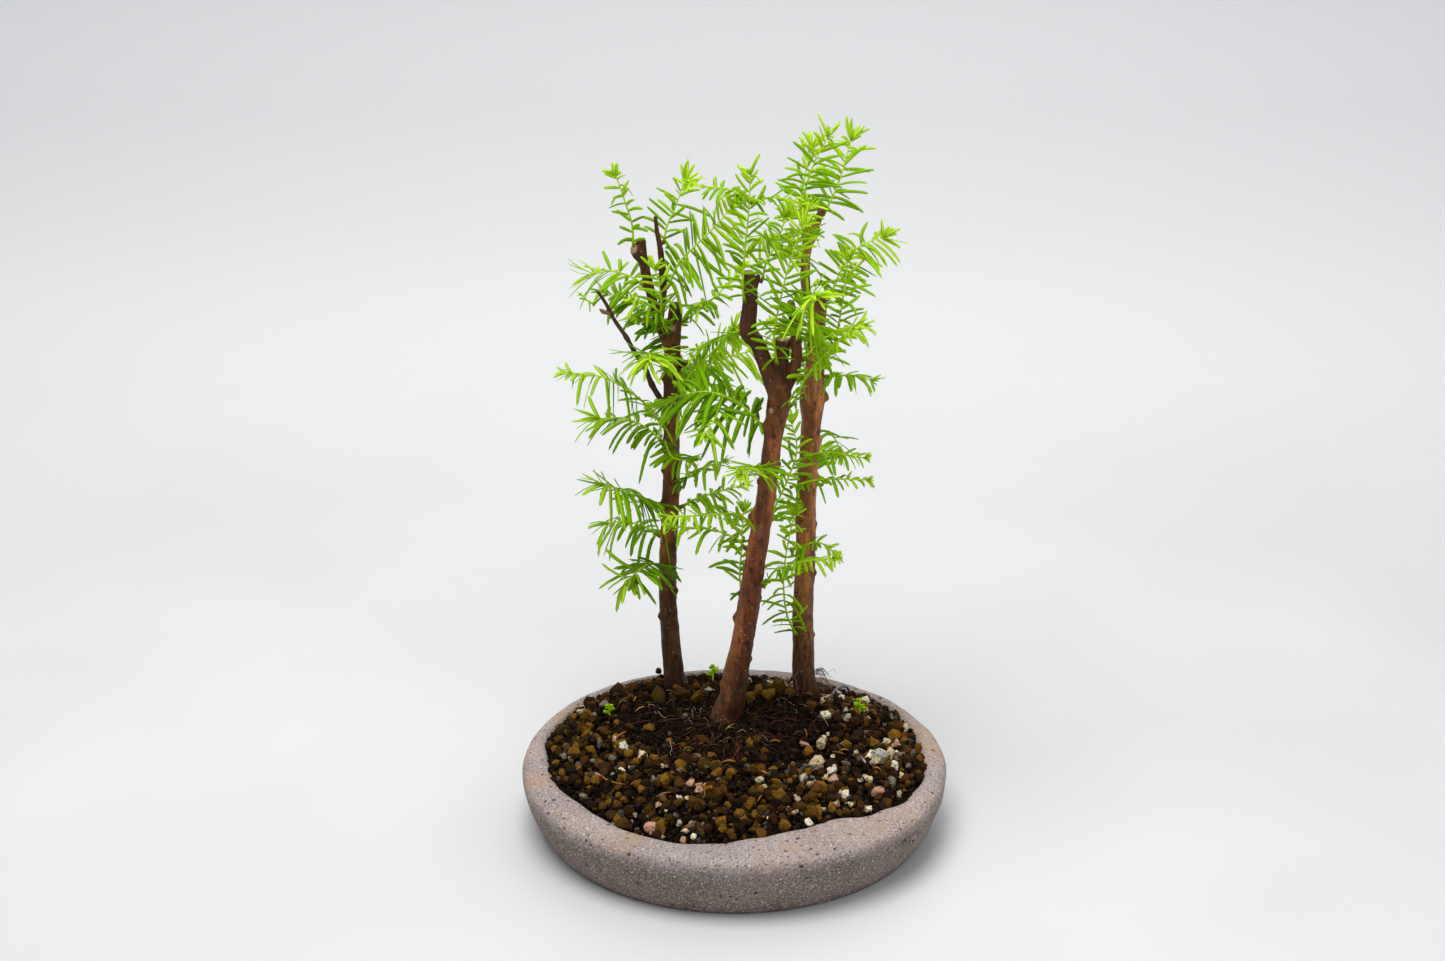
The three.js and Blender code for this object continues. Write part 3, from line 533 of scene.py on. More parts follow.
# ---------------------------------------------------------------- bowl
AXIS = 0.01  # radius of the small rings that close the bowl at its middle
BOWL_ROWS, BOWL_SIDES = 150, 400
THUMB_GROOVE = 27  # height of the grooves under the lip
TAN_STAIN = (0.33, 0.20, 0.11)


def bowl_profile():
    """The bowl's section as radius and height: out along the underside, up the wall, over the rolled lip and
    back in along the floor."""
    return smooth_path([
        (AXIS, 0), (BASE_RADIUS * 0.5, 0), (BASE_RADIUS - 7, 0), (BASE_RADIUS - 1.5, 1.2),
        (BASE_RADIUS + 1.8, 5), (BASE_RADIUS + 5, 12), (RIM_RADIUS - 2.2, 21), (RIM_RADIUS - 0.6, 28),
        (RIM_RADIUS - 0.3, 33), (RIM_RADIUS - 1.6, 37), (RIM_RADIUS - 4.6, 39.2), (RIM_RADIUS - 8, 39.6),
        (RIM_RADIUS - 11, 38.6), (RIM_RADIUS - LIP, 36), (RIM_RADIUS - LIP + 0.6, 32),
        (RIM_RADIUS - LIP + 1, 27), (RIM_RADIUS - LIP, 20), (BASE_RADIUS - WALL, 12),
        (BASE_RADIUS - WALL - 6, FLOOR), (BASE_RADIUS * 0.5, FLOOR), (AXIS, FLOOR)], BOWL_ROWS)


def bowl_piece():
    """The bowl: its profile carried round a circle. The lip's inner edge follows the pinches, noise dents
    the wall as fingers do, the lip rises and falls in slow waves, and two grooves run under it."""
    angle = np.linspace(0, 2 * math.pi, BOWL_SIDES, endpoint=False)
    profile = bowl_profile()
    radius, turn = np.meshgrid(profile[:, 0], angle, indexing="ij")
    height = np.repeat(profile[:, 1:2], BOWL_SIDES, axis=1)
    start = around(radius, turn, height)
    wall = smoothstep(height, 2, 14) * smoothstep(radius, 60, 95)
    dents = 0.9 * billow(start, 34, 5, 2) + 0.35 * billow(start, 11, 9, 2)
    radius = radius + pinch_at(turn) * pinch_share(radius, height) + dents * wall * 0.8

    facing_up = smoothstep(height, POT_HEIGHT - 8, POT_HEIGHT - 2) * smoothstep(radius, 88, 100)
    wave = 0.9 * np.sin(3 * turn + 0.7) + 0.7 * np.sin(5 * turn + 2.1)
    height = height + facing_up * (wave * 0.55 - 0.9 + 0.6 * billow(start, 16, 14, 2))
    groove = bell(height, THUMB_GROOVE, 3.2) * smoothstep(radius, 105, 112)
    notch = bell(np.degrees(turn), 322, 12) + 0.35 * bell(np.degrees(turn), 262, 30)
    radius = np.minimum(radius - groove * notch * 2.4, RIM_RADIUS)
    places = around(radius, turn, np.clip(height, 0, POT_HEIGHT))

    stain = smoothstep(billow(places, 26, 21, 3), 0.15, 0.8) * smoothstep(height, 20, 36)
    stain = np.maximum(stain, bell(turn, 0.15, 0.35) * facing_up * 0.8)
    tint = np.empty((BOWL_ROWS, BOWL_SIDES, 4))
    tint[..., :3] = TAN_STAIN
    tint[..., 3] = np.clip(stain * 0.75, 0, 1)
    faces = tube_faces(BOWL_ROWS, BOWL_SIDES)
    bowl = make_piece("bowl", places.reshape(-1, 3) * MM, faces, stoneware_finish(), tint)
    weld(bowl)
    for side in (-1, 1):
        drill(bowl, (side * HOLE_OFFSET * MM, 0, FLOOR / 2 * MM), HOLE_RADIUS * MM)
    return bowl


def weld(piece, distance=1e-6):
    """Merges the points that share a place, such as those at a pole."""
    shape = bmesh.new()
    shape.from_mesh(piece.data)
    bmesh.ops.remove_doubles(shape, verts=shape.verts, dist=distance)
    bmesh.ops.dissolve_degenerate(shape, edges=shape.edges, dist=distance)
    bmesh.ops.recalc_face_normals(shape, faces=shape.faces)
    shape.to_mesh(piece.data)
    shape.free()


def settle(piece):
    """Applies the piece's modifiers to its mesh."""
    finished = bpy.data.meshes.new_from_object(piece.evaluated_get(bpy.context.evaluated_depsgraph_get()))
    piece.modifiers.clear()
    piece.data = finished


BIT_LENGTH = 0.03  # metres, enough to pass right through the bowl's floor


def drill(piece, centre, radius):
    """A round hole straight down through the piece."""
    bpy.ops.mesh.primitive_cylinder_add(vertices=48, radius=radius, depth=BIT_LENGTH, location=centre)
    bit = bpy.context.object
    cut = piece.modifiers.new("hole", "BOOLEAN")
    cut.object = bit
    cut.operation = "DIFFERENCE"
    cut.solver = "EXACT"
    settle(piece)
    bpy.data.objects.remove(bit)


# ---------------------------------------------------------------- drainage screens
SCREEN_TINT = (0, 0, 0, 1)
BAR_RADIUS = 0.4
HOOP_RADIUS = 0.55
LAYER_SHIFT = 0.18  # the two layers lie this far above and below the middle of the screen
BAR_SPACING = 2.0
OUTER_BAR = 10  # from the middle of the screen to its last bar


def screen_piece(side, centre_x):
    """Two layers of parallel bars inside a ring, one layer turned square to the other."""
    bars = Gather()
    name = f"drain_screen_{side}"
    low, high = (np.array(corner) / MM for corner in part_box(name))
    level, reach = (low[2] + high[2]) / 2, (high[0] - low[0]) / 2 - 0.6
    rows = 49
    ring = np.linspace(0, 2 * math.pi, rows)
    hoop = np.stack([centre_x + reach * np.cos(ring), reach * np.sin(ring), np.full(rows, level)], axis=-1)
    bars.tube(hoop, np.full(rows, HOOP_RADIUS), 6, SCREEN_TINT)
    for offset in np.arange(-OUTER_BAR, OUTER_BAR + 0.1, BAR_SPACING):
        half = math.sqrt(reach ** 2 - offset ** 2)
        for turned in (False, True):
            ends = np.array([(-half, offset), (half, offset)])
            flat = ends[:, ::-1] if turned else ends
            height = level + (LAYER_SHIFT if turned else -LAYER_SHIFT)
            path = np.column_stack([flat[:, 0] + centre_x, flat[:, 1], [height] * 2])
            bars.tube(path, np.full(2, BAR_RADIUS), 6, SCREEN_TINT)
    ship(bars.piece(f"{side}_drainage_mesh", screen_finish()), "screen", name)


# ---------------------------------------------------------------- soil
def soil_height(x, y):
    """Height of the soil: its edge plus its mound times 1 - share^4. Share is the distance from the middle
    as a part of the way to the lip."""
    radius = np.hypot(x, y)
    share = np.clip(radius / (lip_edge(np.arctan2(y, x)) - CLEARANCE), 0, 1)
    return SOIL_EDGE + MOUND * (1 - share ** 4)


EARTH_SUNK = 1.6  # the earth lies this far under the soil's height
EARTH_GAP = 0.6  # from the lip's inner edge to the earth
GRAINS_SUNK = 1.0  # the middle layer of grains lies this far under the soil's height


def soil_piece(material):
    """The earth under the granules: rings from the middle to the lip, roughened by noise and closed
    underneath."""
    rings, sides = 120, 240
    centre = 0.0005
    share = np.concatenate([np.linspace(centre, 1, rings), [1.0, 0.9, centre]])
    angle = np.linspace(0, 2 * math.pi, sides, endpoint=False)
    share_grid, turn = np.meshgrid(share, angle, indexing="ij")
    radius = share_grid * (lip_edge(turn) - EARTH_GAP)
    x, y = radius * np.cos(turn), radius * np.sin(turn)
    top = soil_height(x, y) - EARTH_SUNK + 1.1 * billow(on_plane(x, y), 7, 31, 4)
    depth = np.array([0.0] * rings + [6, 14, 14])[:, None]  # the last three rings close the underside
    places = np.stack([x, y, np.minimum(top, SOIL_TOP) - depth], axis=-1)
    piece = make_piece("potting_soil", places.reshape(-1, 3) * MM, tube_faces(len(share), sides), material)
    weld(piece, 1e-7)
    return piece


OCTAHEDRON = np.array([(1, 0, 0), (-1, 0, 0), (0, 1, 0), (0, -1, 0), (0, 0, 1), (0, 0, -1)], float)


def pebble_shape():
    """An octahedron whose faces are split once: 18 points and 32 triangles."""
    points = [tuple(point) for point in OCTAHEDRON]
    faces = []
    for sx in (0, 1):
        for sy in (2, 3):
            for sz in (4, 5):
                corner = (sx, sy, sz)
                middles = []
                for a, b in ((0, 1), (1, 2), (2, 0)):
                    middle = tuple(unit(OCTAHEDRON[corner[a]] + OCTAHEDRON[corner[b]]))
                    if middle not in points:
                        points.append(middle)
                    middles.append(points.index(middle))
                ab, bc, ca = middles
                found = [(corner[0], ab, ca), (ab, corner[1], bc), (ca, bc, corner[2]), (ab, bc, ca)]
                outward = (sx + sy + sz) % 2 == 0
                faces += found if outward else [face[::-1] for face in found]
    return np.array(points), np.array(faces)


def random_turns(rng, count):
    """Random rotation matrices, from random unit quaternions."""
    w, x, y, z = unit(rng.normal(size=(count, 4))).T
    return np.stack([
        np.stack([1 - 2 * (y * y + z * z), 2 * (x * y - z * w), 2 * (x * z + y * w)], axis=-1),
        np.stack([2 * (x * y + z * w), 1 - 2 * (x * x + z * z), 2 * (y * z - x * w)], axis=-1),
        np.stack([2 * (x * z - y * w), 2 * (y * z + x * w), 1 - 2 * (x * x + y * y)], axis=-1)], axis=1)


def granules(name, material, rng, spots, sizes, colours, crumble, squash=(0.62, 1.22), sink=0.25):
    """Pebbles on the soil. Each is the split octahedron with its points pushed in or out at random,
    stretched along three axes, turned at random and sunk by a share of its size."""
    shape, faces = pebble_shape()
    count = len(spots)
    body = shape[None] * (1 + rng.uniform(-crumble, crumble, (count, len(shape), 1)))
    body = body * (sizes[:, None, None] / 2) * rng.uniform(*squash, (count, 1, 3))
    body = np.einsum("nij,nkj->nki", random_turns(rng, count), body)
    ground = soil_height(spots[:, 0], spots[:, 1])
    middle = np.column_stack([spots, ground + sizes * (0.5 - sink) - GRAINS_SUNK])
    colour = colours[rng.integers(0, len(colours), count)] * rng.uniform(0.82, 1.18, (count, 1))
    tint = np.repeat(np.column_stack([colour, np.ones(count)]), len(shape), axis=0)
    places = (body + middle[:, None]).reshape(-1, 3)
    faces = many(faces, count, len(shape))
    ship(make_piece(name, places * MM, faces, material, tint, smooth=False), "soil")


def scatter(rng, count, keep, margin):
    """Up to count places on the soil, drawn evenly and kept at random by the density that keep gives."""
    tries = count * 4
    radius = np.sqrt(rng.uniform(0, 1, tries))
    angle = rng.uniform(0, 2 * math.pi, tries)
    reach = lip_edge(angle) - margin
    x, y = radius * reach * np.cos(angle), radius * reach * np.sin(angle)
    chosen = rng.uniform(0, 1, tries) < keep(x, y, radius)
    return np.column_stack([x, y])[chosen][:count]


MAT_CENTRE = (-4.0, 24.0)  # the dark root mat lies round the middle trunk and reaches to the back
MAT_REACH = (74.0, 52.0)
MAT_COVER = 0.93  # share of the larger grains that the mat hides


def mat_share(x, y):
    """1 on the root mat, falling to 0 over the granules."""
    away = np.hypot((x - MAT_CENTRE[0]) / MAT_REACH[0], (y - MAT_CENTRE[1]) / MAT_REACH[1])
    return 1 - smoothstep(away + 0.22 * billow(on_plane(x, y), 22, 61, 3), 0.6, 1.15)


# How densely each kind of grain lies, from 0 to 1. Share is the distance from the middle, 1 at the lip.
def off_the_mat(x, y, share):
    """Everywhere, but hardly on the root mat."""
    return 1 - MAT_COVER * mat_share(x, y)


def in_drifts(x, y, share):
    """Patches, thicker towards the right and the lip, and hardly any on the root mat."""
    patch = 0.5 + 0.5 * billow(on_plane(x, y), 30, 3, 2)
    lean = 0.3 + 0.7 * smoothstep(x * 0.9 - y * 0.2, -20, 60)
    return np.clip(off_the_mat(x, y, share) * patch ** 2 * 1.6 * lean * (0.25 + share), 0, 1)


def beside_right_lip(x, y, share):
    """Only to the right and near the lip."""
    return smoothstep(x, 20, 75) * smoothstep(share, 0.45, 0.8)


def thick_on_the_mat(x, y, share):
    """Twice as dense on the root mat as elsewhere."""
    return 0.5 + 0.5 * mat_share(x, y)


CLAY = np.array([(0.105, 0.043, 0.003), (0.065, 0.027, 0.002), (0.030, 0.012, 0.002), (0.180, 0.082, 0.006),
                 (0.012, 0.005, 0.001), (0.036, 0.016, 0.002)])
PUMICE = np.array([(0.66, 0.54, 0.32), (0.52, 0.41, 0.23), (0.74, 0.66, 0.48), (0.38, 0.32, 0.22),
                   (0.50, 0.27, 0.17)])
LAVA = np.array([(0.045, 0.038, 0.030), (0.10, 0.086, 0.068), (0.018, 0.015, 0.012), (0.20, 0.165, 0.125)])
PEAT = np.array([(0.0025, 0.0013, 0.0007), (0.007, 0.0032, 0.0013), (0.0015, 0.0008, 0.0005),
                 (0.019, 0.008, 0.002)])
MOSSY = np.array([(0.075, 0.040, 0.003), (0.130, 0.066, 0.003), (0.050, 0.026, 0.002)])
CHIP_WHITE = np.array([(0.62, 0.60, 0.52)])
CLODS = np.array([(2, 62), (9, 55), (14, 66), (20, 58), (-30, 60), (-22, 52), (26, 70), (-44, 56), (4, 74)],
                 float)
INSIDE_LIP, UNDER_LIP = 0.2, -1.6  # how far short of the lip's edge grains stop


def granule_pieces():
    """Six kinds of grain scattered over the soil, then mossy clods, a pale chip and a crumb at listed
    places.
    """
    rng = np.random.default_rng(7)
    clay = grain_finish("baked clay granules", 0.88, 900, 0.0004)
    pumice = grain_finish("pumice", 0.82, 520, 0.0012, 0.4, 0.95)
    lava = grain_finish("lava grit", 0.7, 800, 0.0008)
    peat = grain_finish("peat crumbs", 0.95, 900, 0.0005)
    # name, finish, count, density, margin, smallest, largest, colours, crumble, sink
    for name, finish, count, keep, margin, low, high, colours, crumble, sink in (
            ("peat_crumbs", peat, 5600, thick_on_the_mat, UNDER_LIP, 1.2, 4.8, PEAT, 0.38, 0.12),
            ("clay_granules", clay, 900, off_the_mat, INSIDE_LIP, 3.0, 8.6, CLAY, 0.25, 0.14),
            ("fine_clay_granules", clay, 900, off_the_mat, INSIDE_LIP, 1.2, 3.4, CLAY, 0.3, -0.1),
            ("pumice_granules", pumice, 215, in_drifts, INSIDE_LIP, 2.0, 8.2, PUMICE, 0.34, 0.0),
            ("lava_granules", lava, 260, off_the_mat, INSIDE_LIP, 2.0, 6.0, LAVA, 0.32, 0.05),
            ("pumice_beside_lip", pumice, 60, beside_right_lip, INSIDE_LIP, 2.4, 7.6, PUMICE, 0.34, 0.0)):
        spots = scatter(rng, count, keep, margin)
        sizes = low + (high - low) * rng.beta(1.6, 2.6, len(spots))
        granules(name, finish, rng, spots, sizes, colours, crumble, sink=sink)
    granules("mossy_clods", clay, rng, CLODS, np.linspace(7, 11, len(CLODS)), MOSSY, 0.3, sink=0.05)
    for name, finish, spot, size, colours, crumble, squash, sink in (
            ("pale_chip", pumice, (81.0, -16.0), 10.0, CHIP_WHITE, 0.15, (0.45, 1.2), -0.1),
            ("crumb_on_lip", clay, (-45.0, 103.0), 5.4, CLAY[2:3], 0.2, (0.62, 1.22), -0.78)):
        granules(name, finish, rng, np.array([spot]), np.array([size]), colours, crumble, squash, sink)


# ---------------------------------------------------------------- trees, in millimetres
SOIL_REACH = RIM_RADIUS - LIP - CLEARANCE


def planting(right, back):
    """A place on the soil at the level of the bowl's rim, from shares of the soil's radius."""
    return np.array((right * SOIL_REACH, back * SOIL_REACH, POT_HEIGHT))


PLANTED = {"left": planting(-0.327, 0.74), "middle": planting(-0.056, 0.262),
           "right": planting(0.394, 0.684)}

# Limbs as x, y, z and radius, from the planting point at the level of the bowl's rim.
LIMBS = {
    "left": {
        "main": [(2, 0, -9, 6), (1.5, 0, -4, 7.6), (1, 0, 4, 7.4), (-0.5, 0, 12, 6.2), (-2.5, 0, 36, 5.6),
                 (-3.8, 0, 59, 5.2), (-3.6, 0, 88, 4.9), (-2, 0, 117, 4.8), (-1, 0, 145, 4.6),
                 (-1, 0, 172, 4.3), (-0.5, 0, 187, 5), (0, 0, 206, 4.6), (-0.5, 0, 219, 4.6)],
        "cut_stub": [(-0.5, 0, 214, 4.4), (1, 0, 228, 4), (2, 0, 242, 3.5)],
        "fork": [(-1, 0, 214, 3), (-8, -1, 232, 2.6), (-13, -1, 253, 2.6), (-16, -2, 268, 2.7),
                 (-17, -2, 274, 3.1), (-17, -2, 280, 2.4)],
        "leader": [(-7, 0, 232, 2), (-5, 3, 250, 2.1), (-6, 3, 269, 1.9), (-8, 3, 282, 1.5),
                   (-9, 3, 292, 1.1)],
        "fork_knob": [(-16, -2, 268, 2.8), (-18.5, -2.6, 273, 4.0), (-20.5, -3.2, 276.5, 2.9)],
        "side_stub": [(1, 0, 205, 2.4), (8, -2, 208, 1.7)],
        "root_front": [(1, -2, 3, 4), (-3, -10, -1, 2.6), (-8, -16, -5, 1.4)],
        "root_right": [(3, 0, 2, 3.6), (11, -3, -2, 2.2), (17, -4, -5, 1.2)],
        "root_back": [(0, 2, 2, 3.6), (-8, 7, -2, 2.2), (-13, 10, -5, 1.2)],
    },
    "middle": {
        "main": [(-3, 0, -9, 7), (-2, 0, -4, 8.8), (-0.5, 0, 5, 8.6), (5, 0, 23, 7.9), (7, 0, 38, 7.4),
                 (11, 0, 60, 6.5), (16, 0, 96, 6), (20, 0, 124, 5.8), (24, 0, 151, 5.5), (27, 0, 179, 5.3),
                 (30, 0, 202, 6.6), (30.5, 0, 212, 5.6)],
        "left_fork": [(29, 0, 205, 4.8), (22, 0, 225, 4.4), (18, 0, 236, 4.5), (13, 0, 243, 5.1),
                      (14, 0, 256, 4.5), (14, 0, 268, 4.1), (12.5, 0, 277, 3.2)],
        "left_prong": [(15, 0, 262, 2), (19, 1, 275, 1.3)],
        "cut_stub": [(30, 0, 206, 5), (31, 1, 224, 4), (32, 1, 238, 3.8)],
        "right_fork": [(32, 0, 207, 3.6), (39, 1, 223, 2.9), (39, 1, 241, 2.7), (37, 1, 253, 2.5),
                       (36, 1, 260, 2.1)],
        "root_front": [(-1, -3, 4, 4.6), (1, -12, -1, 3), (5, -20, -5, 1.6)],
        "root_left": [(-3, 0, 2, 4), (-13, -3, -1, 2.6), (-22, -5, -5, 1.4)],
        "root_right": [(2, 1, 2, 3.8), (12, 4, -2, 2.4), (19, 7, -5, 1.2)],
    },
    "right": {
        "main": [(1, 0, -9, 6), (1, 0, -4, 7.6), (0.5, 0, 4, 7.4), (-1, 0, 14, 6.8), (-1.5, 0, 30, 6.4),
                 (-2, 0, 60, 6), (-1, 0, 89, 5.8), (-1, 0, 118, 5.6), (0, 0, 146, 5.5), (1.6, 0, 174, 5.6),
                 (2, 0, 188, 7.2), (3, 0, 204, 5.5), (4, 0, 230, 5.2), (5, 0, 249, 5.1)],
        "knob": [(3, 0, 187, 4.6), (10, -1, 190, 3)],
        "leader": [(3, 0, 236, 2.6), (-2, 0, 249, 2.8), (-3, -1, 265, 2.7), (-2, -1, 278, 3),
                   (0, -1, 287, 5), (0, -1, 292, 3)],
        "left_prong": [(-1, -1, 287, 2.4), (-4, -1, 296, 1.9), (-6, -1, 304, 1.4)],
        "right_prong": [(1, -1, 287, 2.6), (4, -1, 293, 2), (6, -1, 299, 1.9)],
        "root_front": [(0, -2, 3, 4), (4, -10, -1, 2.6), (10, -16, -5, 1.4)],
        "root_left": [(-2, 0, 2, 3.6), (-10, -4, -2, 2.2), (-16, -7, -5, 1.2)],
        "root_back": [(1, 2, 2, 3.6), (7, 8, -2, 2.2), (12, 12, -5, 1.2)],
    },
}
UPWARD, FORWARD = (0, 0, 1), (0, -1, 0)
# Cut faces of sawn stubs: place, radius of the pale wood and the way the cut faces.
CUTS = {
    "left": [((0, -4.2, 229), 1.9, FORWARD), ((-21.5, -4.6, 275.5), 2.8, (-0.65, -0.7, 0.3))],
    "middle": [((12, 0, 277), 3.0, UPWARD), ((32, 1, 239), 3.4, UPWARD), ((25.5, -5.4, 199), 1.7, FORWARD)],
    "right": [((6, -1, 300), 1.8, UPWARD), ((5, 0, 250), 4.6, UPWARD)],
}
# Small swellings where twigs fell off: height, degrees round the trunk, and size.
KNOBS = {
    "left": [(50, 200, 1.3), (67, 350, 1.2), (76, 20, 1.1), (120, 175, 1.6), (131, 10, 1.5), (142, 200, 1.5),
             (158, 180, 1.4), (176, 10, 1.2), (198, 190, 1.6), (100, 240, 1.0), (28, 300, 1.1)],
    "middle": [(30, 180, 1.4), (46, 15, 1.3), (72, 185, 1.7), (84, 20, 1.4), (105, 250, 1.5),
               (134, 180, 2.6), (156, 200, 1.5), (165, 10, 1.2), (187, 180, 2.2), (60, 290, 1.2)],
    "right": [(40, 10, 1.1), (80, 350, 1.2), (110, 20, 1.4), (140, 0, 1.2), (162, 10, 1.3), (60, 200, 1.0),
              (216, 340, 1.6)],
}


# Each bark: seed, its two browns, the height up to which it is mossy, and the height from which painted
# shade darkens it.
BARKS = {
    "left": (61, np.array([(0.140, 0.043, 0.011), (0.390, 0.128, 0.026)]), 90, 205),
    "middle": (67, np.array([(0.210, 0.058, 0.014), (0.550, 0.175, 0.037)]), 60, 172),
    "right": (71, np.array([(0.250, 0.084, 0.028), (0.620, 0.230, 0.062)]), 110, 290),
}
MOSS_TINT = np.array((0.14, 0.095, 0.018))
DRY_TINT = np.array((0.32, 0.16, 0.08))
CUT_WOOD = np.array((0.42, 0.26, 0.14))
LIMB_SIDES = 20
SKIN_CELL = 0.62  # size of the cells in which the limbs are fused


def limb_rings(points):
    """A limb's tube from its points and radii."""
    points = np.asarray(points, float)
    length = np.linalg.norm(np.diff(points[:, :3], axis=0), axis=1).sum()
    path = smooth_path(points, max(4, int(length / 3)))
    facing = (1, 0, 0) if abs(points[-1, 1] - points[0, 1]) > 0.7 * length else (0, 1, 0)
    return tube(path[:, :3], path[:, 3], LIMB_SIDES, facing)


def fused_limbs(side, material):
    """The tubes of a tree's limbs made one skin of small cells, and smoothed a little."""
    wood = Gather()
    for points in LIMBS[side].values():
        rings = limb_rings(points)
        wood.add(rings, tube_faces(len(rings), LIMB_SIDES), (1, 1, 1, 1))
    trunk = wood.piece(f"{side}_trunk", material)
    weld(trunk)
    fuse = trunk.modifiers.new("fuse", "REMESH")
    fuse.mode = "VOXEL"
    fuse.voxel_size = SKIN_CELL * MM
    calm = trunk.modifiers.new("calm", "SMOOTH")
    calm.factor, calm.iterations = 0.5, 4
    settle(trunk)
    return trunk


def bark_tint(places, seed, browns, moss_top, crown):
    """Bark colour: brown and red-brown clouds stretched upright, mossy low down, dry in patches, darkened by
    painted shade above the height given by crown, and darker towards the foot."""
    warm = smoothstep(billow(places * (1, 1, 0.22), 7, seed, 3), -0.5, 0.6)[:, None]
    tint = browns[0] * (1 - warm) + browns[1] * warm
    streak = smoothstep(billow(places * (1, 1, 0.25), 2.2, seed + 5, 2), 0.1, 0.8)[:, None]
    tint = tint * (1 - 0.4 * streak)
    height = places[:, 2]
    moss = smoothstep(billow(places, 6, seed + 11, 3), 0.15, 0.7) * (1 - smoothstep(height, 20, moss_top))
    tint = tint * (1 - 0.35 * moss[:, None]) + MOSS_TINT * 0.35 * moss[:, None]
    dry = smoothstep(billow(places * (1, 1, 0.5), 5, seed + 17, 3), 0.35, 0.9) * 0.45
    tint = tint * (1 - dry[:, None]) + DRY_TINT * dry[:, None]
    # Painted shade above crown, where the foliage hangs, and a darker foot.
    shade = 1 - 0.68 * smoothstep(height, crown - 20, crown + 30) - 0.7 * (1 - smoothstep(height, 4, 125))
    return tint * np.maximum(shade, 0.26)[:, None]


def knob_shares(side, places):
    """For each knob of a tree: its size, and 1 at its middle falling as a bell around it."""
    main = smooth_path(LIMBS[side]["main"], 200)
    for height, degrees, size in KNOBS[side]:
        centre = main[np.argmin(abs(main[:, 2] - height))]
        aim = np.array((math.cos(math.radians(degrees)), math.sin(math.radians(degrees)), 0))
        away = (places - (centre[:3] + aim * centre[3])) / (1.25, 1.25, 1.6)
        yield size, bell(np.linalg.norm(away, axis=1), 0, size)


def trunk_piece(side, material):
    """A tree's fused limbs pushed in and out along their normals: long upright ribs, rough flakes and small
    knobs. Cut faces are smoother and painted as pale ringed wood."""
    seed, browns, moss_top, crown = BARKS[side]
    trunk = fused_limbs(side, material)
    mesh = trunk.data
    count = len(mesh.vertices)
    flat = np.empty(count * 3, np.float32)
    mesh.vertices.foreach_get("co", flat)
    places = flat.reshape(-1, 3).astype(float) / MM
    mesh.vertices.foreach_get("normal", flat)
    outward = flat.reshape(-1, 3).astype(float)

    push = 0.24 * billow(places * (1, 1, 0.12), 2.6, seed, 3) + 0.22 * billow(places, 4.5, seed + 3, 3)
    push += 0.3 * cloud(places * (1, 1, 0.35), 16, seed + 8)
    scar = np.zeros(count)
    for size, near in knob_shares(side, places):
        push += near * size * 1.05
        scar = np.maximum(scar, near)
    colour = bark_tint(places, seed, browns, moss_top, crown)
    colour = colour * (1 - 0.7 * smoothstep(scar, 0.35, 0.9))[:, None]
    cut = np.zeros(count)
    for centre, radius, facing in CUTS[side]:
        away = np.linalg.norm(places - np.array(centre), axis=1)
        face = 1 - smoothstep(away, radius * 0.8, radius * 1.15)
        face = face * smoothstep(outward @ np.array(facing), 0.3, 0.7)
        ringed = CUT_WOOD * (0.8 + 0.2 * np.sin(away * 7))[:, None]
        colour = colour * (1 - face[:, None]) + ringed * face[:, None]
        cut = np.maximum(cut, face)
        push *= 1 - 0.6 * face

    places = places + outward * push[:, None] + PLANTED[side]
    mesh.vertices.foreach_set("co", (places * MM).astype(np.float32).ravel())
    for layer in list(mesh.color_attributes):
        mesh.color_attributes.remove(layer)
    paint(mesh, np.column_stack([colour, cut]))
    mesh.polygons.foreach_set("use_smooth", np.full(len(mesh.polygons), True))
    mesh.materials.clear()
    mesh.materials.append(material)
    mesh.update()
    return trunk


# ---------------------------------------------------------------- leafy shoots
FLAT = (0, 0, 1)
FRONT = (0, -1, 0.35)

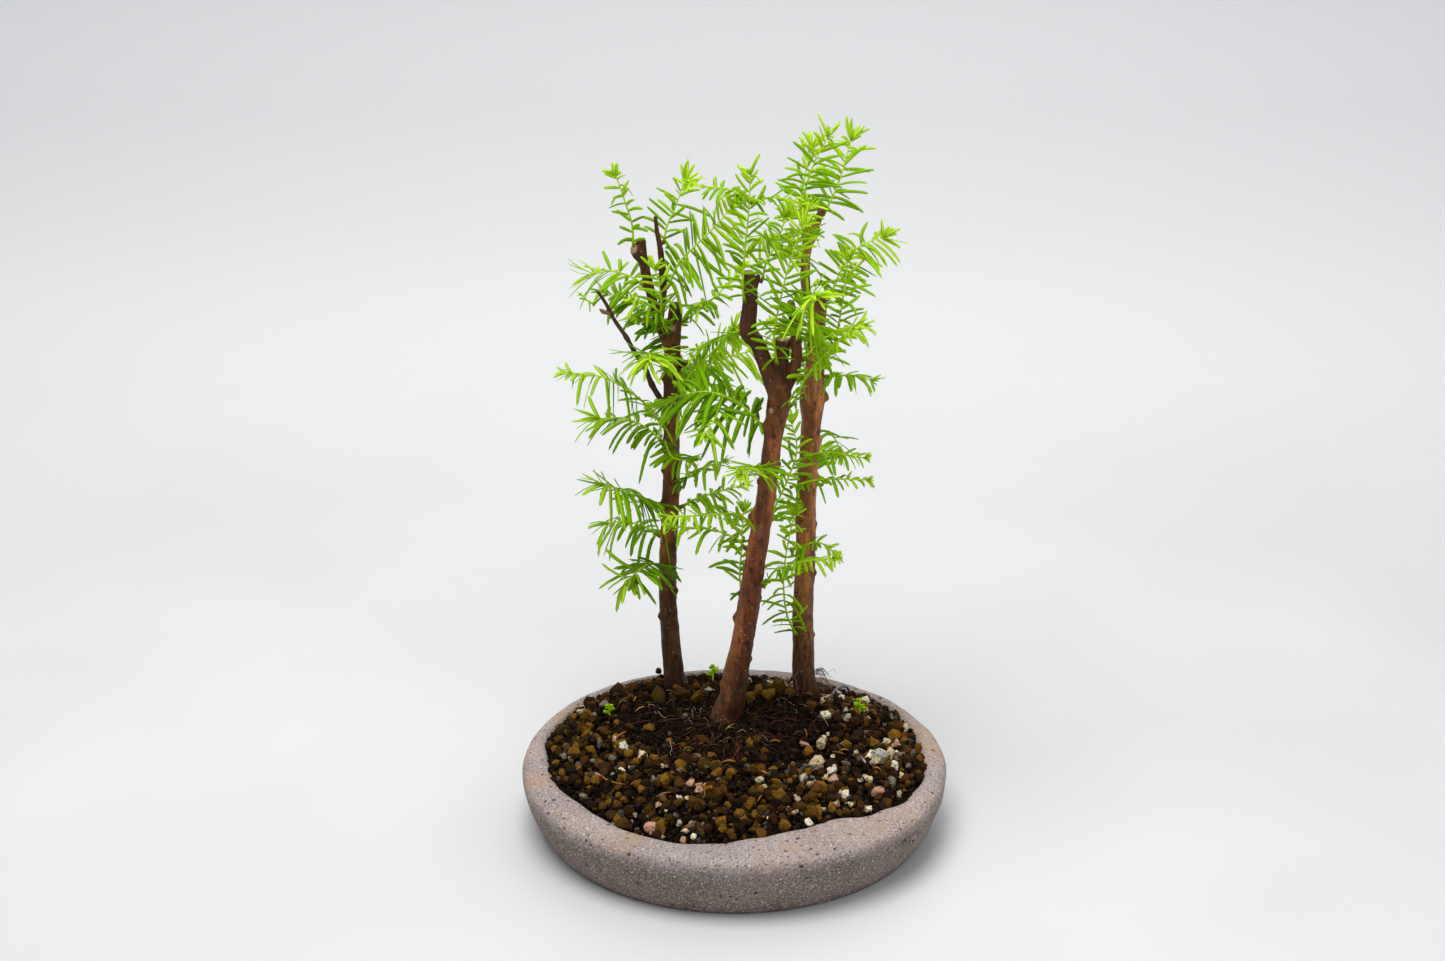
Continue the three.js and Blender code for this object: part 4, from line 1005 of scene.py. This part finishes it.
# Each shoot: limb, height on it, route, longest needle, then what differs from the usual in grow_shoot.
SHOOTS = {
    "left": [
        ("fork", 277, [(-22, -5, 290), (-26, -10, 306), (-30, -14, 320)], 12,
         {"face": FRONT, "wide": 2.6, "gap": 4}),
        ("leader", 276, [(-3, 9, 284), (2, 13, 295), (7, 17, 308)], 19, {"face": FRONT}),
        ("leader", 252, [(4, -4, 267), (14, -11, 280), (24, -17, 292), (33, -21, 304)], 22,
         {"face": (-0.2, -0.7, 0.7), "wide": 2.6, "hang": 0.5, "gap": 2.9}),
        ("fork", 252, [(-22, 7, 255), (-34, 13, 257), (-44, 17, 254)], 20, {"hang": 0.4, "end": 0.95}),
        ("main", 211, [(-8, 13, 226), (-22, 22, 235), (-38, 26, 240)], 19, {"shade": 0.1, "gap": 2.2}),
        ("cut_stub", 226, [(-6, -12, 238), (-6, -17, 252), (-9, -18, 268)], 15, {"face": FRONT}),
        ("main", 211, [(-11, -22, 219), (-12, -38, 226), (-11, -52, 227)], 21, {"shade": 0.45, "end": 0.9}),
        ("cut_stub", 232, [(17, 6, 238), (27, 10, 246), (38, 16, 256)], 15, {}),
        ("main", 192, [(11, -16, 207), (22, -26, 222), (34, -34, 238)], 18,
         {"face": (-0.3, -0.5, 0.8), "wide": 2.5, "end": 0.75, "gap": 3.3, "shade": 0.65}),
        ("main", 197, [(15, 3, 202), (31, 7, 208), (46, 9, 211)], 18,
         {"face": (-0.2, -0.5, 0.8), "hang": 0.5, "end": 0.9, "gap": 3.4, "shade": 0.65}),
        ("main", 170, [(-18, -14, 190), (-38, -22, 206), (-56, -26, 210)], 19,
         {"hang": 0.55, "lean": 1.15, "shade": 0.4}),
        ("main", 158, [(-16, 8, 165), (-28, 14, 168), (-43, 20, 166)], 21,
         {"shade": 0.25, "hang": 0.5, "end": 0.9, "wide": 2.5}),
        ("main", 136, [(11, -11, 145), (20, -17, 151), (28, -20, 155)], 13, {"gap": 2.6}),
        ("main", 118, [(14, 6, 122), (28, 10, 125), (40, 14, 127)], 14, {"gap": 2.6, "hang": 0.5}),
        ("main", 119, [(-16, -13, 129), (-29, -22, 138), (-38, -27, 143)], 21,
         {"shade": 0.2, "hang": 0.55, "lean": 1.25, "end": 0.95, "wide": 2.7, "gap": 2.2, "tuft": 7}),
        ("main", 99, [(-17, 8, 103), (-29, 14, 104), (-38, 16, 102)], 19,
         {"shade": 0.25, "hang": 0.5, "lean": 1.2, "end": 0.95, "wide": 2.6, "gap": 2.5, "tuft": 7}),
        ("main", 84, [(-13, -15, 90), (-19, -26, 91), (-24, -34, 89)], 20,
         {"shade": 0.1, "hang": 0.4, "lean": 1.25, "end": 0.9, "wide": 2.8, "gap": 1.9, "tuft": 8}),
        ("main", 180, [(6, 12, 190), (14, 22, 198), (24, 28, 200)], 14, {}),
    ],
    "middle": [
        ("left_fork", 262, [(10, -7, 272), (11, -7, 290), (13, -7, 312), (14, -7, 333)], 16,
         {"face": FRONT}),
        ("left_prong", 272, [(23, 3, 282), (29, 7, 292), (33, 12, 304)], 16, {"face": FRONT}),
        ("cut_stub", 226, [(27, -11, 245), (31, -19, 272), (37, -24, 298), (41, -28, 310)], 17,
         {"face": FRONT}),
        ("right_fork", 240, [(43, -16, 258), (46, -31, 272), (48, -46, 278)], 22,
         {"wide": 3.2, "face": (0, -0.75, 0.65), "shade": 0.7, "gap": 2.3}),
        ("left_fork", 242, [(4, 12, 238), (-4, 21, 231), (-14, 29, 223)], 18, {"shade": 0.5}),
        ("main", 188, [(8, -4, 203), (-8, 0, 208), (-22, 6, 204), (-32, 10, 197)], 25,
         {"wide": 3.1, "hang": 0.5, "gap": 2.5, "shade": 0.3, "face": (0.1, -0.3, 0.9)}),
        ("main", 203, [(45, -8, 220), (56, -15, 237), (69, -21, 252)], 18, {}),
        ("main", 112, [(6, 10, 117), (-9, 18, 119), (-29, 26, 117)], 11, {"gap": 2.8}),
        ("main", 132, [(5, -10, 140), (-12, -17, 142), (-32, -24, 144)], 11, {"gap": 2.8}),
        ("main", 80, [(9, 18, 88), (10, 26, 104), (11, 32, 124)], 14, {"face": FRONT}),
        ("main", 95, [(29, -6, 104), (44, -12, 112), (60, -16, 116)], 11, {"gap": 2.8}),
        ("main", 126, [(29, 14, 135), (36, 22, 148), (41, 28, 163), (38, 32, 178)], 13, {"face": FRONT}),
        ("main", 160, [(20, -18, 170), (16, -32, 176), (10, -46, 178)], 17, {"gap": 2.3, "shade": 0.45}),
        ("right_fork", 226, [(52, 10, 233), (63, 17, 238), (76, 22, 239)], 16, {}),
    ],
    "right": [
        ("main", 44, [(-12, -16, 62), (-14, -22, 88), (-11, -23, 112), (-8, -22, 126)], 14,
         {"face": FRONT, "gap": 3.6, "hang": 0.6}),
        ("left_prong", 298, [(-4, -8, 310), (1, -11, 328), (8, -13, 343)], 18, {"face": FRONT}),
        ("leader", 288, [(-5, 11, 300), (-3, 16, 314), (0, 22, 327)], 17, {"face": FRONT}),
        ("right_prong", 296, [(12, 6, 304), (17, 12, 316), (22, 18, 333)], 18, {"face": FRONT}),
        ("leader", 281, [(-4, -16, 294), (-5, -29, 305), (-4, -40, 313)], 18,
         {"wide": 2.1, "face": (0, -0.7, 0.7), "shade": 0.7}),
        ("leader", 268, [(-12, -9, 282), (-20, -17, 289), (-30, -25, 289)], 22, {"wide": 1.9}),
        ("main", 246, [(18, 8, 262), (27, 15, 272), (41, 22, 276)], 21,
         {"face": (0.2, -0.55, 0.8), "wide": 2.2}),
        ("main", 212, [(13, -9, 222), (17, -13, 246), (20, -16, 275)], 15, {"face": FRONT}),
        ("main", 202, [(16, -8, 204), (24, -12, 206), (34, -15, 204)], 12, {}),
        ("main", 166, [(12, 14, 162), (17, 22, 153), (20, 29, 143)], 15, {"gap": 5}),
        ("main", 196, [(-4, 14, 208), (-10, 25, 217), (-18, 32, 220)], 15, {}),
        ("main", 130, [(3, 13, 138), (6, 25, 143), (9, 36, 144)], 13, {}),
        ("main", 104, [(-8, 12, 110), (-13, 21, 114), (-18, 30, 114)], 12, {}),
    ],
}

DEEP_GREEN = np.array((0.070, 0.235, 0.001))
FRESH_GREEN = np.array((0.370, 0.680, 0.006))
PALE_GREEN = np.array((0.700, 0.900, 0.060))
TWIG_BROWN = np.array((0.12, 0.045, 0.02))
DRY_ORANGE = np.array((0.45, 0.20, 0.05))
# Side branches of a shoot, given by its tree and number: their routes and longest needles.
SIDE_SPRAYS = {
    ("left", 5): [([(-8, 12, 224), (-14, 2, 232), (-18, -8, 236)], 16)],
    ("left", 6): [([(-5, -13, 240), (-13, -15, 247), (-21, -16, 250)], 13)],
    ("left", 8): [([(14, 5, 237), (16, -6, 244), (17, -15, 247)], 14)],
    ("left", 12): [([(-5, -5, 162), (0, -19, 157), (11, -29, 159)], 13)],
    ("left", 18): [([(6, 12, 190), (2, 2, 200), (-3, -10, 206)], 14),
                   ([(14, 22, 198), (26, 18, 190), (36, 14, 184)], 14)],
    ("middle", 6): [([(0, -2, 206), (-4, -14, 200), (-10, -24, 193)], 18)],
    ("middle", 1): [([(14, -6, 317), (3, -2, 323), (-13, 2, 324), (-18, 3, 325)], 11),
                    ([(14, -6, 317), (27, -2, 319), (41, 0, 314)], 12)],
    ("middle", 12): [([(37, 14, 146), (54, 16, 150), (80, 18, 149)], 10),
                     ([(44, 21, 162), (60, 24, 163), (79, 26, 159)], 10)],
    ("right", 1): [([(-10, -18, 102), (5, -25, 110), (15, -29, 105)], 11)],
}
# A needle's outline: shares of its length, and of its full width there.
NEEDLE_ROWS = np.array([0.0, 0.1, 0.28, 0.5, 0.74, 0.93, 1.0])
NEEDLE_WIDTHS = np.array([0.3, 0.72, 0.97, 1.0, 0.95, 0.72, 0.0])

BUD_SUNK = 0.6  # a shoot's foot starts this far inside the bark
BUD_RISE = 2.4  # a shoot leaves the bark square to it over this length


def bud_place(points, height, towards):
    """Where a shoot leaves the bark, and in which direction: the limb's axis at the height, moved out square
    to it to just under the surface."""
    rows = 300
    path = smooth_path(points, rows)
    i = int(np.argmin(abs(path[:, 2] - height)))
    along = unit(path[min(i + 1, rows - 1), :3] - path[max(i - 1, 0), :3])
    out = np.asarray(towards, float) - path[i, :3]
    out = unit(out - along * out.dot(along))
    return path[i, :3] + out * (path[i, 3] - BUD_SUNK), out


def needle_blades(base, aim, flat, length, width, droop, bend):
    """Blades: the midrib runs base + length (u aim + bend u^2 flat - droop u^2 up), and curves a little to
    one side as well. The outline is a strap with a round tip. Each row has a left edge, a raised top, a
    right edge and a keel underneath."""
    u = NEEDLE_ROWS[None, :, None]
    sickle = np.cross(aim, flat) * (bend[:, None] * 0.8)
    spine = base[:, None] + length[:, None, None] * (
        u * aim[:, None] + u ** 2 * (bend[:, None, None] * flat[:, None] + sickle[:, None])
        - droop[:, None, None] * u ** 2 * np.array((0, 0, 1.0)))
    along = unit(np.gradient(spine, axis=1))
    edge = unit(np.cross(along, flat[:, None]))
    top = np.cross(edge, along)
    half = (width[:, None] / 2 * NEEDLE_WIDTHS[None])[..., None]
    thick = half * 0.16 + 0.02
    thick[:, -1] = 0
    return np.stack([spine - edge * half + top * half * 0.12, spine + top * thick * 0.3,
                     spine + edge * half + top * half * 0.12, spine - top * thick * 1.6], axis=2)


def add_stem(leaf, path, length, face, spur):
    """The stem: thick and brown at its foot, thin and pale green at its tip."""
    run = np.linspace(0, 1, len(path))
    woody = (1 - smoothstep(run * length, spur * 0.6, spur * 1.3))[:, None]
    radii = 0.36 + 0.36 * (1 - run) + 0.55 * woody[:, 0] * (1 - 0.3 * run)
    green = FRESH_GREEN * (1 - 0.75 * run[:, None]) + PALE_GREEN * 0.75 * run[:, None] + (0.08, 0.03, 0.0)
    tint = np.column_stack([green * (1 - woody) + TWIG_BROWN * woody, woody])
    leaf.tube(path, radii, 7, np.repeat(np.vstack([tint[:1], tint, tint[-1:]]), 7, axis=0), face)


def needle_tints(at, shade, rng):
    """Needle colours: deep green near the stem's foot, fresh along it and pale at its tip, and lighter
    towards each needle's own tip. A few needles have a dry orange end."""
    count = len(at)
    young = smoothstep(at, 0.45, 1.0) * 0.75 + rng.normal(0, 0.12, count) + (shade - 0.55)
    young = np.clip(young, 0, 1)[:, None]
    old = np.clip(shade + rng.normal(0, 0.2, count) + 0.25 * smoothstep(at, 0.1, 0.7), 0, 1)[:, None]
    green = DEEP_GREEN * (1 - old) + FRESH_GREEN * old
    green = green * (1 - young) + PALE_GREEN * young
    rows = np.linspace(0, 1, len(NEEDLE_ROWS))[None, :, None]
    tint = green[:, None] * (0.85 + 0.3 * rows)
    dry = (rng.uniform(0, 1, count) < 0.012)[:, None, None] * smoothstep(rows, 0.6, 0.9)
    tint = tint * (1 - dry) + DRY_ORANGE * dry
    tint = np.concatenate([tint, np.zeros(tint.shape[:2] + (1,))], axis=-1)
    return np.repeat(tint[:, :, None], 4, axis=2).reshape(-1, 4)


# Degrees between a needle and its stem at the stem's foot, half way, near the tip and at the tip.
OPEN_FLAT = (78, 68, 52, 44)
OPEN_UPRIGHT = (68, 58, 44, 36)
# Where along a stem its needles' lengths are set: foot, just above it, longest, far out and tip.
LENGTHS_AT = (0, 0.12, 0.4, 0.8, 1)


def grow_shoot(leaf, route, needle, rng, face=FLAT, wide=2.25, gap=2.9, shade=0.5, spur=5.0, start=0.07,
               hang=0.4, tuft=8, lean=1.0, end=0.58):
    """One spray: a stem on its route, opposite pairs of needles that lean forward and hang more on the near
    side, a few small odd needles between the pairs, and a tuft of young needles at the tip. Lengths rise to
    two fifths of the way and then fall to the share called end.

    needle and wide are the longest needle's length and width, gap is the way from pair to pair, shade runs
    from 0 for deep to 1 for fresh green, spur is the length of brown wood at the foot, start is the bare
    share of the stem, hang is how far tips droop, tuft counts the needles at the tip, and lean opens them
    wider."""
    upright = face == FRONT
    if upright:
        gap, wide, needle = gap * 1.3, wide * 0.84, needle * 1.12
    length = np.linalg.norm(np.diff(route, axis=0), axis=1).sum()
    path = smooth_path(route, max(12, int(length / 2)))
    run = np.linspace(0, 1, len(path))
    add_stem(leaf, path, length, face, spur)

    pairs = max(3, int((length * (1 - start) - 1) / gap))
    at = np.repeat(start + (1 - start) * (np.arange(pairs) + 0.5) / pairs, 2)
    at = at + rng.uniform(-0.3, 0.3, pairs * 2) * gap / length
    odd = rng.uniform(start, 1, pairs // 2)
    at = np.clip(np.concatenate([at, odd, np.full(tuft, 0.995)]), 0.02, 0.995)
    side = np.concatenate([np.tile([-1.0, 1.0], pairs), rng.choice([-1.0, 1.0], len(odd)),
                           np.linspace(-1, 1, tuft)])
    count = len(at)
    paired = np.arange(count) < pairs * 2
    tip = np.arange(count) >= count - tuft
    base, along, across, flat = (np.stack([np.interp(at, run, part[:, k]) for k in range(3)], axis=-1)
                                 for part in (path, *frames_along(path, np.asarray(face, float))))

    open_by = np.array(OPEN_UPRIGHT if upright else OPEN_FLAT) * lean
    angle = np.radians(np.interp(at, [0, 0.5, 0.9, 1], open_by) + rng.normal(0, 11, count)) * np.abs(side)
    lift = rng.normal(0.05, 0.42 if upright else 0.2, count) * np.where(paired, 1, 2)
    aim = unit(np.cos(angle)[:, None] * along + (np.sin(angle) * np.sign(side))[:, None] * across
               + lift[:, None] * flat)
    size = np.interp(at, LENGTHS_AT, [0.45, 0.75, 1.0, 0.5 * end + 0.6, end])
    size = size * rng.uniform(0.68, 1.14, count)
    size = np.where(paired, size, size * np.where(tip, 1.15 if upright else 0.9, 0.6))
    near = np.clip(-aim[:, 1], 0, 1)
    droop = hang * (0.5 + 1.1 * near) * rng.uniform(0.4, 1.5, count) * np.where(tip, 0.3, 1)
    blades = needle_blades(base, aim, unit(flat + rng.normal(0, 0.3, (count, 3))), needle * size,
                           wide * (0.7 + 0.3 * size) * rng.uniform(0.85, 1.12, count),
                           droop, rng.normal(-0.04, 0.2, count))
    rows = len(NEEDLE_ROWS)
    leaf.add(blades, many(tube_faces(rows, 4), count, rows * 4), needle_tints(at, shade, rng))


def shoot_pieces(material):
    """Every shoot of the three trees, each with its side branches and its own seed."""
    for side, sprays in SHOOTS.items():
        for number, (limb, height, route, needle, extra) in enumerate(sprays, 1):
            name = f"shoot_{side}_{number:02d}"
            rng = np.random.default_rng(1000 + 100 * len(side) + number)
            bud, out = bud_place(LIMBS[side][limb], height, route[0])
            leaf = Gather()
            spray = np.array([bud, bud + out * BUD_RISE, *route]) + PLANTED[side]
            grow_shoot(leaf, spray, needle, rng, **extra)
            for branch, short in SIDE_SPRAYS.get((side, number), []):
                grow_shoot(leaf, np.array(branch, float) + PLANTED[side], short, rng, spur=0.2, start=0.02,
                           shade=extra.get("shade", 0.5))
            ship(leaf.piece(f"{name}_leaves", material), "foliage", name)


# ---------------------------------------------------------------- twig, roots, fibres, seedlings and wire
TWIG_FOOT_HEIGHT = 184
TWIG_ROUTE = [(-18, -5, 210), (-30, -9, 232), (-41, -13, 254)]
TWIG_TINT = (0.085, 0.035, 0.022, 0)
NUB_TINT = (0.28, 0.12, 0.07, 0)
NUB_RADII = np.array([1.5, 1.4, 1.2, 1.1, 1.3, 1.2, 0.8, 0.4])


def twig_piece(material):
    """The bare dead twig: a taper that thickens at its nodes and wavers from side to side, with a bud nub
    near its end."""
    rows = 60
    bud, out = bud_place(LIMBS["left"]["main"], TWIG_FOOT_HEIGHT, TWIG_ROUTE[0])
    path = smooth_path(np.array([bud, bud + out * 2, *TWIG_ROUTE]), rows)
    run = np.linspace(0, 1, rows)
    radii = 1.75 - 0.85 * run
    for node in (0.02, 0.2, 0.42, 0.6, 0.82):
        radii = radii + 0.35 * bell(run, node, 0.02)
    path = path + 0.35 * np.column_stack([np.sin(run * 23), np.cos(run * 17), 0 * run])
    wood = Gather()
    wood.tube(path + PLANTED["left"], radii, 12, TWIG_TINT, SKEWED)
    foot = path[rows * 4 // 5]
    nub = np.array([foot, foot + (-3.2, -1.0, 0.4), foot + (-6.0, -1.4, 2.6)]) + PLANTED["left"]
    wood.tube(smooth_path(nub, len(NUB_RADII)), NUB_RADII, 12, NUB_TINT, SKEWED)
    return wood.piece("bare_dead_twig", material)


def bud_leaves_piece(material):
    """A few very small needles that open at the bare twig's bud."""
    leaf = Gather()
    rng = np.random.default_rng(77)
    start = np.array((-43.0, -13.0, 246.0)) + PLANTED["left"]
    route = np.array([start, start + (-3, -1, 2), start + (-7, -2, 6)])
    grow_shoot(leaf, route, 6, rng, wide=1.1, gap=1.6, spur=1)
    return leaf.piece("twig_bud_leaves", material)


def root_path(rng, start, heading, length, rise, wander):
    """A root on the ground: its heading drifts at random, it arches clear of the soil here and there, and it
    stops short of the lip."""
    steps = max(6, int(length / 2))
    turns = heading + np.cumsum(rng.normal(0, wander, steps))
    step = length / steps
    x = start[0] + np.cumsum(np.cos(turns)) * step
    y = start[1] + np.cumsum(np.sin(turns)) * step
    run = np.linspace(0, 1, steps)
    lift = rise * np.sin(np.pi * run) * np.abs(np.cos(run * rng.uniform(2, 9))) + 0.35
    reach = np.maximum(np.hypot(x, y) / (lip_edge(np.arctan2(y, x)) - 3), 1)
    x, y = x / reach, y / reach
    return np.column_stack([x, y, soil_height(x, y) + lift])


ROOT_BROWN = np.array([(0.005, 0.002, 0.001), (0.010, 0.004, 0.002), (0.022, 0.009, 0.003),
                       (0.055, 0.023, 0.008)])
ROOT_PALE = np.array([(0.30, 0.21, 0.12), (0.17, 0.10, 0.05), (0.42, 0.34, 0.25)])
ROOT_RED = np.array([(0.13, 0.035, 0.015), (0.20, 0.07, 0.025), (0.06, 0.02, 0.01)])
# Each kind: name, count, colours, lengths, radii, how high it arches and how much it wanders.
ROOT_KINDS = (
    ("surface_roots", 80, ROOT_BROWN, (18, 64), (0.3, 0.85), 3.2, 0.2),
    ("root_mat_fibres", 900, ROOT_BROWN, (6, 28), (0.13, 0.3), 3.6, 0.36),
    ("pale_root_hairs", 90, ROOT_PALE, (6, 24), (0.12, 0.27), 3.4, 0.3),
    ("red_roots", 34, ROOT_RED, (16, 44), (0.22, 0.42), 2.6, 0.16),
)


def root_pieces(material):
    """Fine roots that wander out from the trunks, and the dark fibres of the root mat. The red ones fan out
    in front of the middle trunk."""
    rng = np.random.default_rng(41)
    for name, count, colours, lengths, girths, rise, wander in ROOT_KINDS:
        threads = Gather()
        for _ in range(count):
            side = ("left", "middle", "right", "middle")[rng.integers(4)]
            heading = rng.uniform(0, 2 * math.pi)
            distance = rng.uniform(4, 9) if name == "surface_roots" else abs(rng.normal(20, 16)) + 5
            turn = rng.normal(0, 1.2)
            if name == "red_roots":
                side, turn = "middle", turn * 0.3
                heading, distance = rng.normal(-1.3, 0.6), rng.uniform(9, 24)
            start = PLANTED[side][:2] + distance * np.array((math.cos(heading), math.sin(heading)))
            path = root_path(rng, start, heading + turn, rng.uniform(*lengths), rise, wander)
            path = smooth_path(path, len(path) + 2)
            radii = rng.uniform(*girths) * np.linspace(1, 0.35, len(path))
            colour = colours[rng.integers(len(colours))] * rng.uniform(0.8, 1.2)
            threads.tube(path, radii, 5, (*colour, 1))
        ship(threads.piece(name, material), "soil")


HAIR_TINTS = np.array([(0.20, 0.10, 0.06), (0.10, 0.045, 0.025), (0.34, 0.22, 0.15)])
LITTER_TINTS = np.array([(0.50, 0.17, 0.03), (0.28, 0.10, 0.02), (0.38, 0.20, 0.05), (0.16, 0.13, 0.02),
                         (0.42, 0.42, 0.02)])
# Dead needles at listed places: x, y, heading, length and tint.
LITTER = [(-70, 2, 0.9, 14, 0), (-73, -30, -0.9, 24, 0), (1, 22, -2.1, 18, 4), (-44, -62, 0.4, 10, 2),
          (62, 30, 2.5, 14, 1)]


def hair_root_piece(material):
    """Hair-thin roots that leave the right trunk's foot, arch out through the air and droop to the soil."""
    rng = np.random.default_rng(44)
    hairs = Gather()
    steps = 12
    for _ in range(70):
        heading = rng.normal(-0.5, 1.0)
        out = np.array((math.cos(heading), math.sin(heading), 0.0))
        height, reach = rng.uniform(0, 24) ** 0.95, rng.uniform(5, 15)
        start = PLANTED["right"] + out * 6 + (0, 0, height)
        side = np.cross(out, (0, 0, 1.0)) * rng.normal(0, 4)
        path = smooth_path([start, start + out * reach * 0.4 + (0, 0, rng.uniform(-2, 3)),
                            start + out * reach * 0.8 + side * 0.6 + (0, 0, rng.uniform(-6, 1)),
                            start + out * reach + side + (0, 0, rng.uniform(-12, -1))], steps)
        path[:, 2] = np.maximum(path[:, 2], soil_height(path[:, 0], path[:, 1]) + 0.3)
        radii = rng.uniform(0.1, 0.2) * np.linspace(1, 0.45, steps)
        colour = HAIR_TINTS[rng.integers(3)] * rng.uniform(0.7, 1.2)
        hairs.tube(path, radii, 4, (*colour, 1), (0, 0.2, 1))
    return hairs.piece("hair_roots", material)


def litter_piece(material):
    """Dead needles on the soil: thin curled strips in orange and brown, a few listed and the rest at
    random."""
    rng = np.random.default_rng(52)
    strips = Gather()
    chosen = list(LITTER)
    reach = 92
    for _ in range(20):
        angle, radius = rng.uniform(0, 2 * math.pi), reach * math.sqrt(rng.uniform(0.02, 1))
        chosen.append((radius * math.cos(angle), radius * math.sin(angle), rng.uniform(0, 6.3),
                       rng.uniform(5, 11), rng.integers(4)))
    steps = 9
    run = np.linspace(0, 1, steps)
    for x, y, heading, length, kind in chosen:
        bend = heading + (run - 0.5) * rng.normal(0, 0.9)
        px, py = x + np.cumsum(np.cos(bend)) * length / steps, y + np.cumsum(np.sin(bend)) * length / steps
        pz = soil_height(px, py) + 2.2 + 1.2 * np.sin(run * 3) * rng.uniform(0.3, 1.5)
        colour = LITTER_TINTS[kind] * rng.uniform(0.8, 1.2)
        radii = 0.5 * np.sin(np.pi * (0.08 + 0.84 * run))
        strips.tube(np.column_stack([px, py, pz]), radii, 5, (*colour, 1))
    return strips.piece("fallen_needles", material)


# [share of the soil's radius to the right, to the back, height over the rim]
SEEDLINGS = {"back": (-0.12, 0.8, 12), "left": (-0.68, 0.38, 9), "right": (0.68, 0.42, 10)}


def seedling_pieces(material):
    """Small weeds: a thin stem with pairs of short round leaves."""
    for number, (side, (right, back, height)) in enumerate(SEEDLINGS.items()):
        rng = np.random.default_rng(90 + number)
        stem = [(0, 0, -1), (0.3, -0.3, 5), (0.2, -0.6, height * 0.8), (0, -1, height + 1.5)]
        leaf = Gather()
        grow_shoot(leaf, planting(right, back) + np.array(stem), 4.6, rng, face=(0, -0.5, 1), wide=2.4,
                   gap=4.2, shade=0.6, spur=0.5, start=0.62, hang=0.1, tuft=3)
        ship(leaf.piece(f"weed_{side}", material), "foliage", f"seedling_{side}")


WIRE_RADIUS = 0.75
WIRE_ROUTE = np.array([(12, -17, -8), (13, -16, -4), (15, -14, 8), (20, -9, 11), (25, -3, 7), (27, -1, -4),
                       (28, 0, -8)])


def wire_piece(material):
    """The anchor wire: a round hoop whose legs go down into the soil beside the right trunk."""
    rows = 60
    hoop = Gather()
    path = smooth_path(WIRE_ROUTE + PLANTED["right"], rows)
    hoop.tube(path, np.full(rows, WIRE_RADIUS), 14, (1, 1, 1, 1), SKEWED)
    return hoop.piece("tie_wire", material)


# ---------------------------------------------------------------- studio
FLOOR_NEAR = ((0.53, 0.53, 0.535), (0.57, 0.57, 0.575))
FLOOR_FAR = (0.66, 0.66, 0.665)
SKY = (0.93, 0.96, 1.0, 1)
SKY_STRENGTH = 0.66
LAMPS = (  # name, place, size, power and colour, all in metres and watts
    ("key", (-0.28, -0.3, 1.78), 1.1, 28, (1.0, 0.985, 0.96)),
    ("fill", (1.3, -1.0, 1.2), 1.6, 4, (0.95, 0.97, 1.0)),
    ("back_light", (0.2, 1.2, 1.8), 1.4, 13, (1.0, 1.0, 1.0)),
)
LAMP_AIM = (0, 0.03, 0.15)


def floor_finish():
    """Nearly white, a little brighter towards the back."""
    f = Finish("pale floor", 0.55)
    depth = f.node("ShaderNodeSeparateXYZ")
    f.wire(f.place, depth.inputs[0])
    near = f.mix(f.between(f.noise(3, 2), 0.3, 0.7), *FLOOR_NEAR)
    f.colour(f.mix(f.between(depth.outputs["Y"], 0.2, 1.0), near, FLOOR_FAR))
    return f.material


def studio_floor():
    """A floor that runs back and curves up into a wall: a section of distance and height carried across."""
    rows, half_width = 60, 14
    u = np.linspace(0, 1, rows)
    back = np.interp(u, [0, 0.5, 0.6, 0.75, 1], [-14.0, 1.4, 1.9, 2.2, 2.3])
    up = np.interp(u, [0, 0.5, 0.6, 0.75, 1], [0, 0, 0.08, 0.5, 4.0])
    sweep = np.repeat(smooth_path(np.column_stack([0 * u, back, up]), rows), 2, axis=0)
    sweep[:, 0] = np.tile([-half_width, half_width], rows)
    faces = np.arange(rows - 1)[:, None] * 2 + np.array([[0, 1, 3, 2]])
    floor = make_piece("studio_floor", sweep, faces, floor_finish())


def studio_lights():
    """A soft sky, a big soft light from above left, a weak fill and a light from behind."""
    world = bpy.data.worlds.new("studio")
    world.use_nodes = True
    background = world.node_tree.nodes["Background"]
    background.inputs["Color"].default_value = SKY
    background.inputs["Strength"].default_value = SKY_STRENGTH
    bpy.context.scene.world = world
    bpy.context.scene.view_settings.view_transform = "Standard"
    for name, place, size, power, colour in LAMPS:
        data = bpy.data.lights.new(name, "AREA")
        data.shape, data.size, data.energy, data.color = "DISK", size, power, colour
        lamp = bpy.data.objects.new(name, data)
        lamp.location = place
        aim = np.array(LAMP_AIM) - np.array(place)
        pitch = math.atan2(math.hypot(aim[0], aim[1]), -aim[2])
        lamp.rotation_euler = (pitch, 0, math.atan2(aim[1], aim[0]) - math.pi / 2)
        bpy.context.collection.objects.link(lamp)


# ---------------------------------------------------------------- build
set_camera()
studio_floor()
studio_lights()
ship(bowl_piece(), "stoneware", "pot")
screen_piece("left", -HOLE_OFFSET)
screen_piece("right", HOLE_OFFSET)
ship(soil_piece(earth_finish()), "soil", "soil")
granule_pieces()
for side in BARKS:
    ship(trunk_piece(side, bark_finish(f"{side} bark")), "bark", f"trunk_{side}")
ship(twig_piece(bark_finish("dead twig bark")), "dead_wood", "bare_twig")
needles = leaf_finish()
shoot_pieces(needles)
ship(bud_leaves_piece(needles), "foliage")
fibres = thread_finish()
root_pieces(fibres)
ship(hair_root_piece(fibres), "soil")
ship(litter_piece(fibres), "foliage")
seedling_pieces(needles)
ship(wire_piece(wire_finish()), "wire", "anchor_wire")
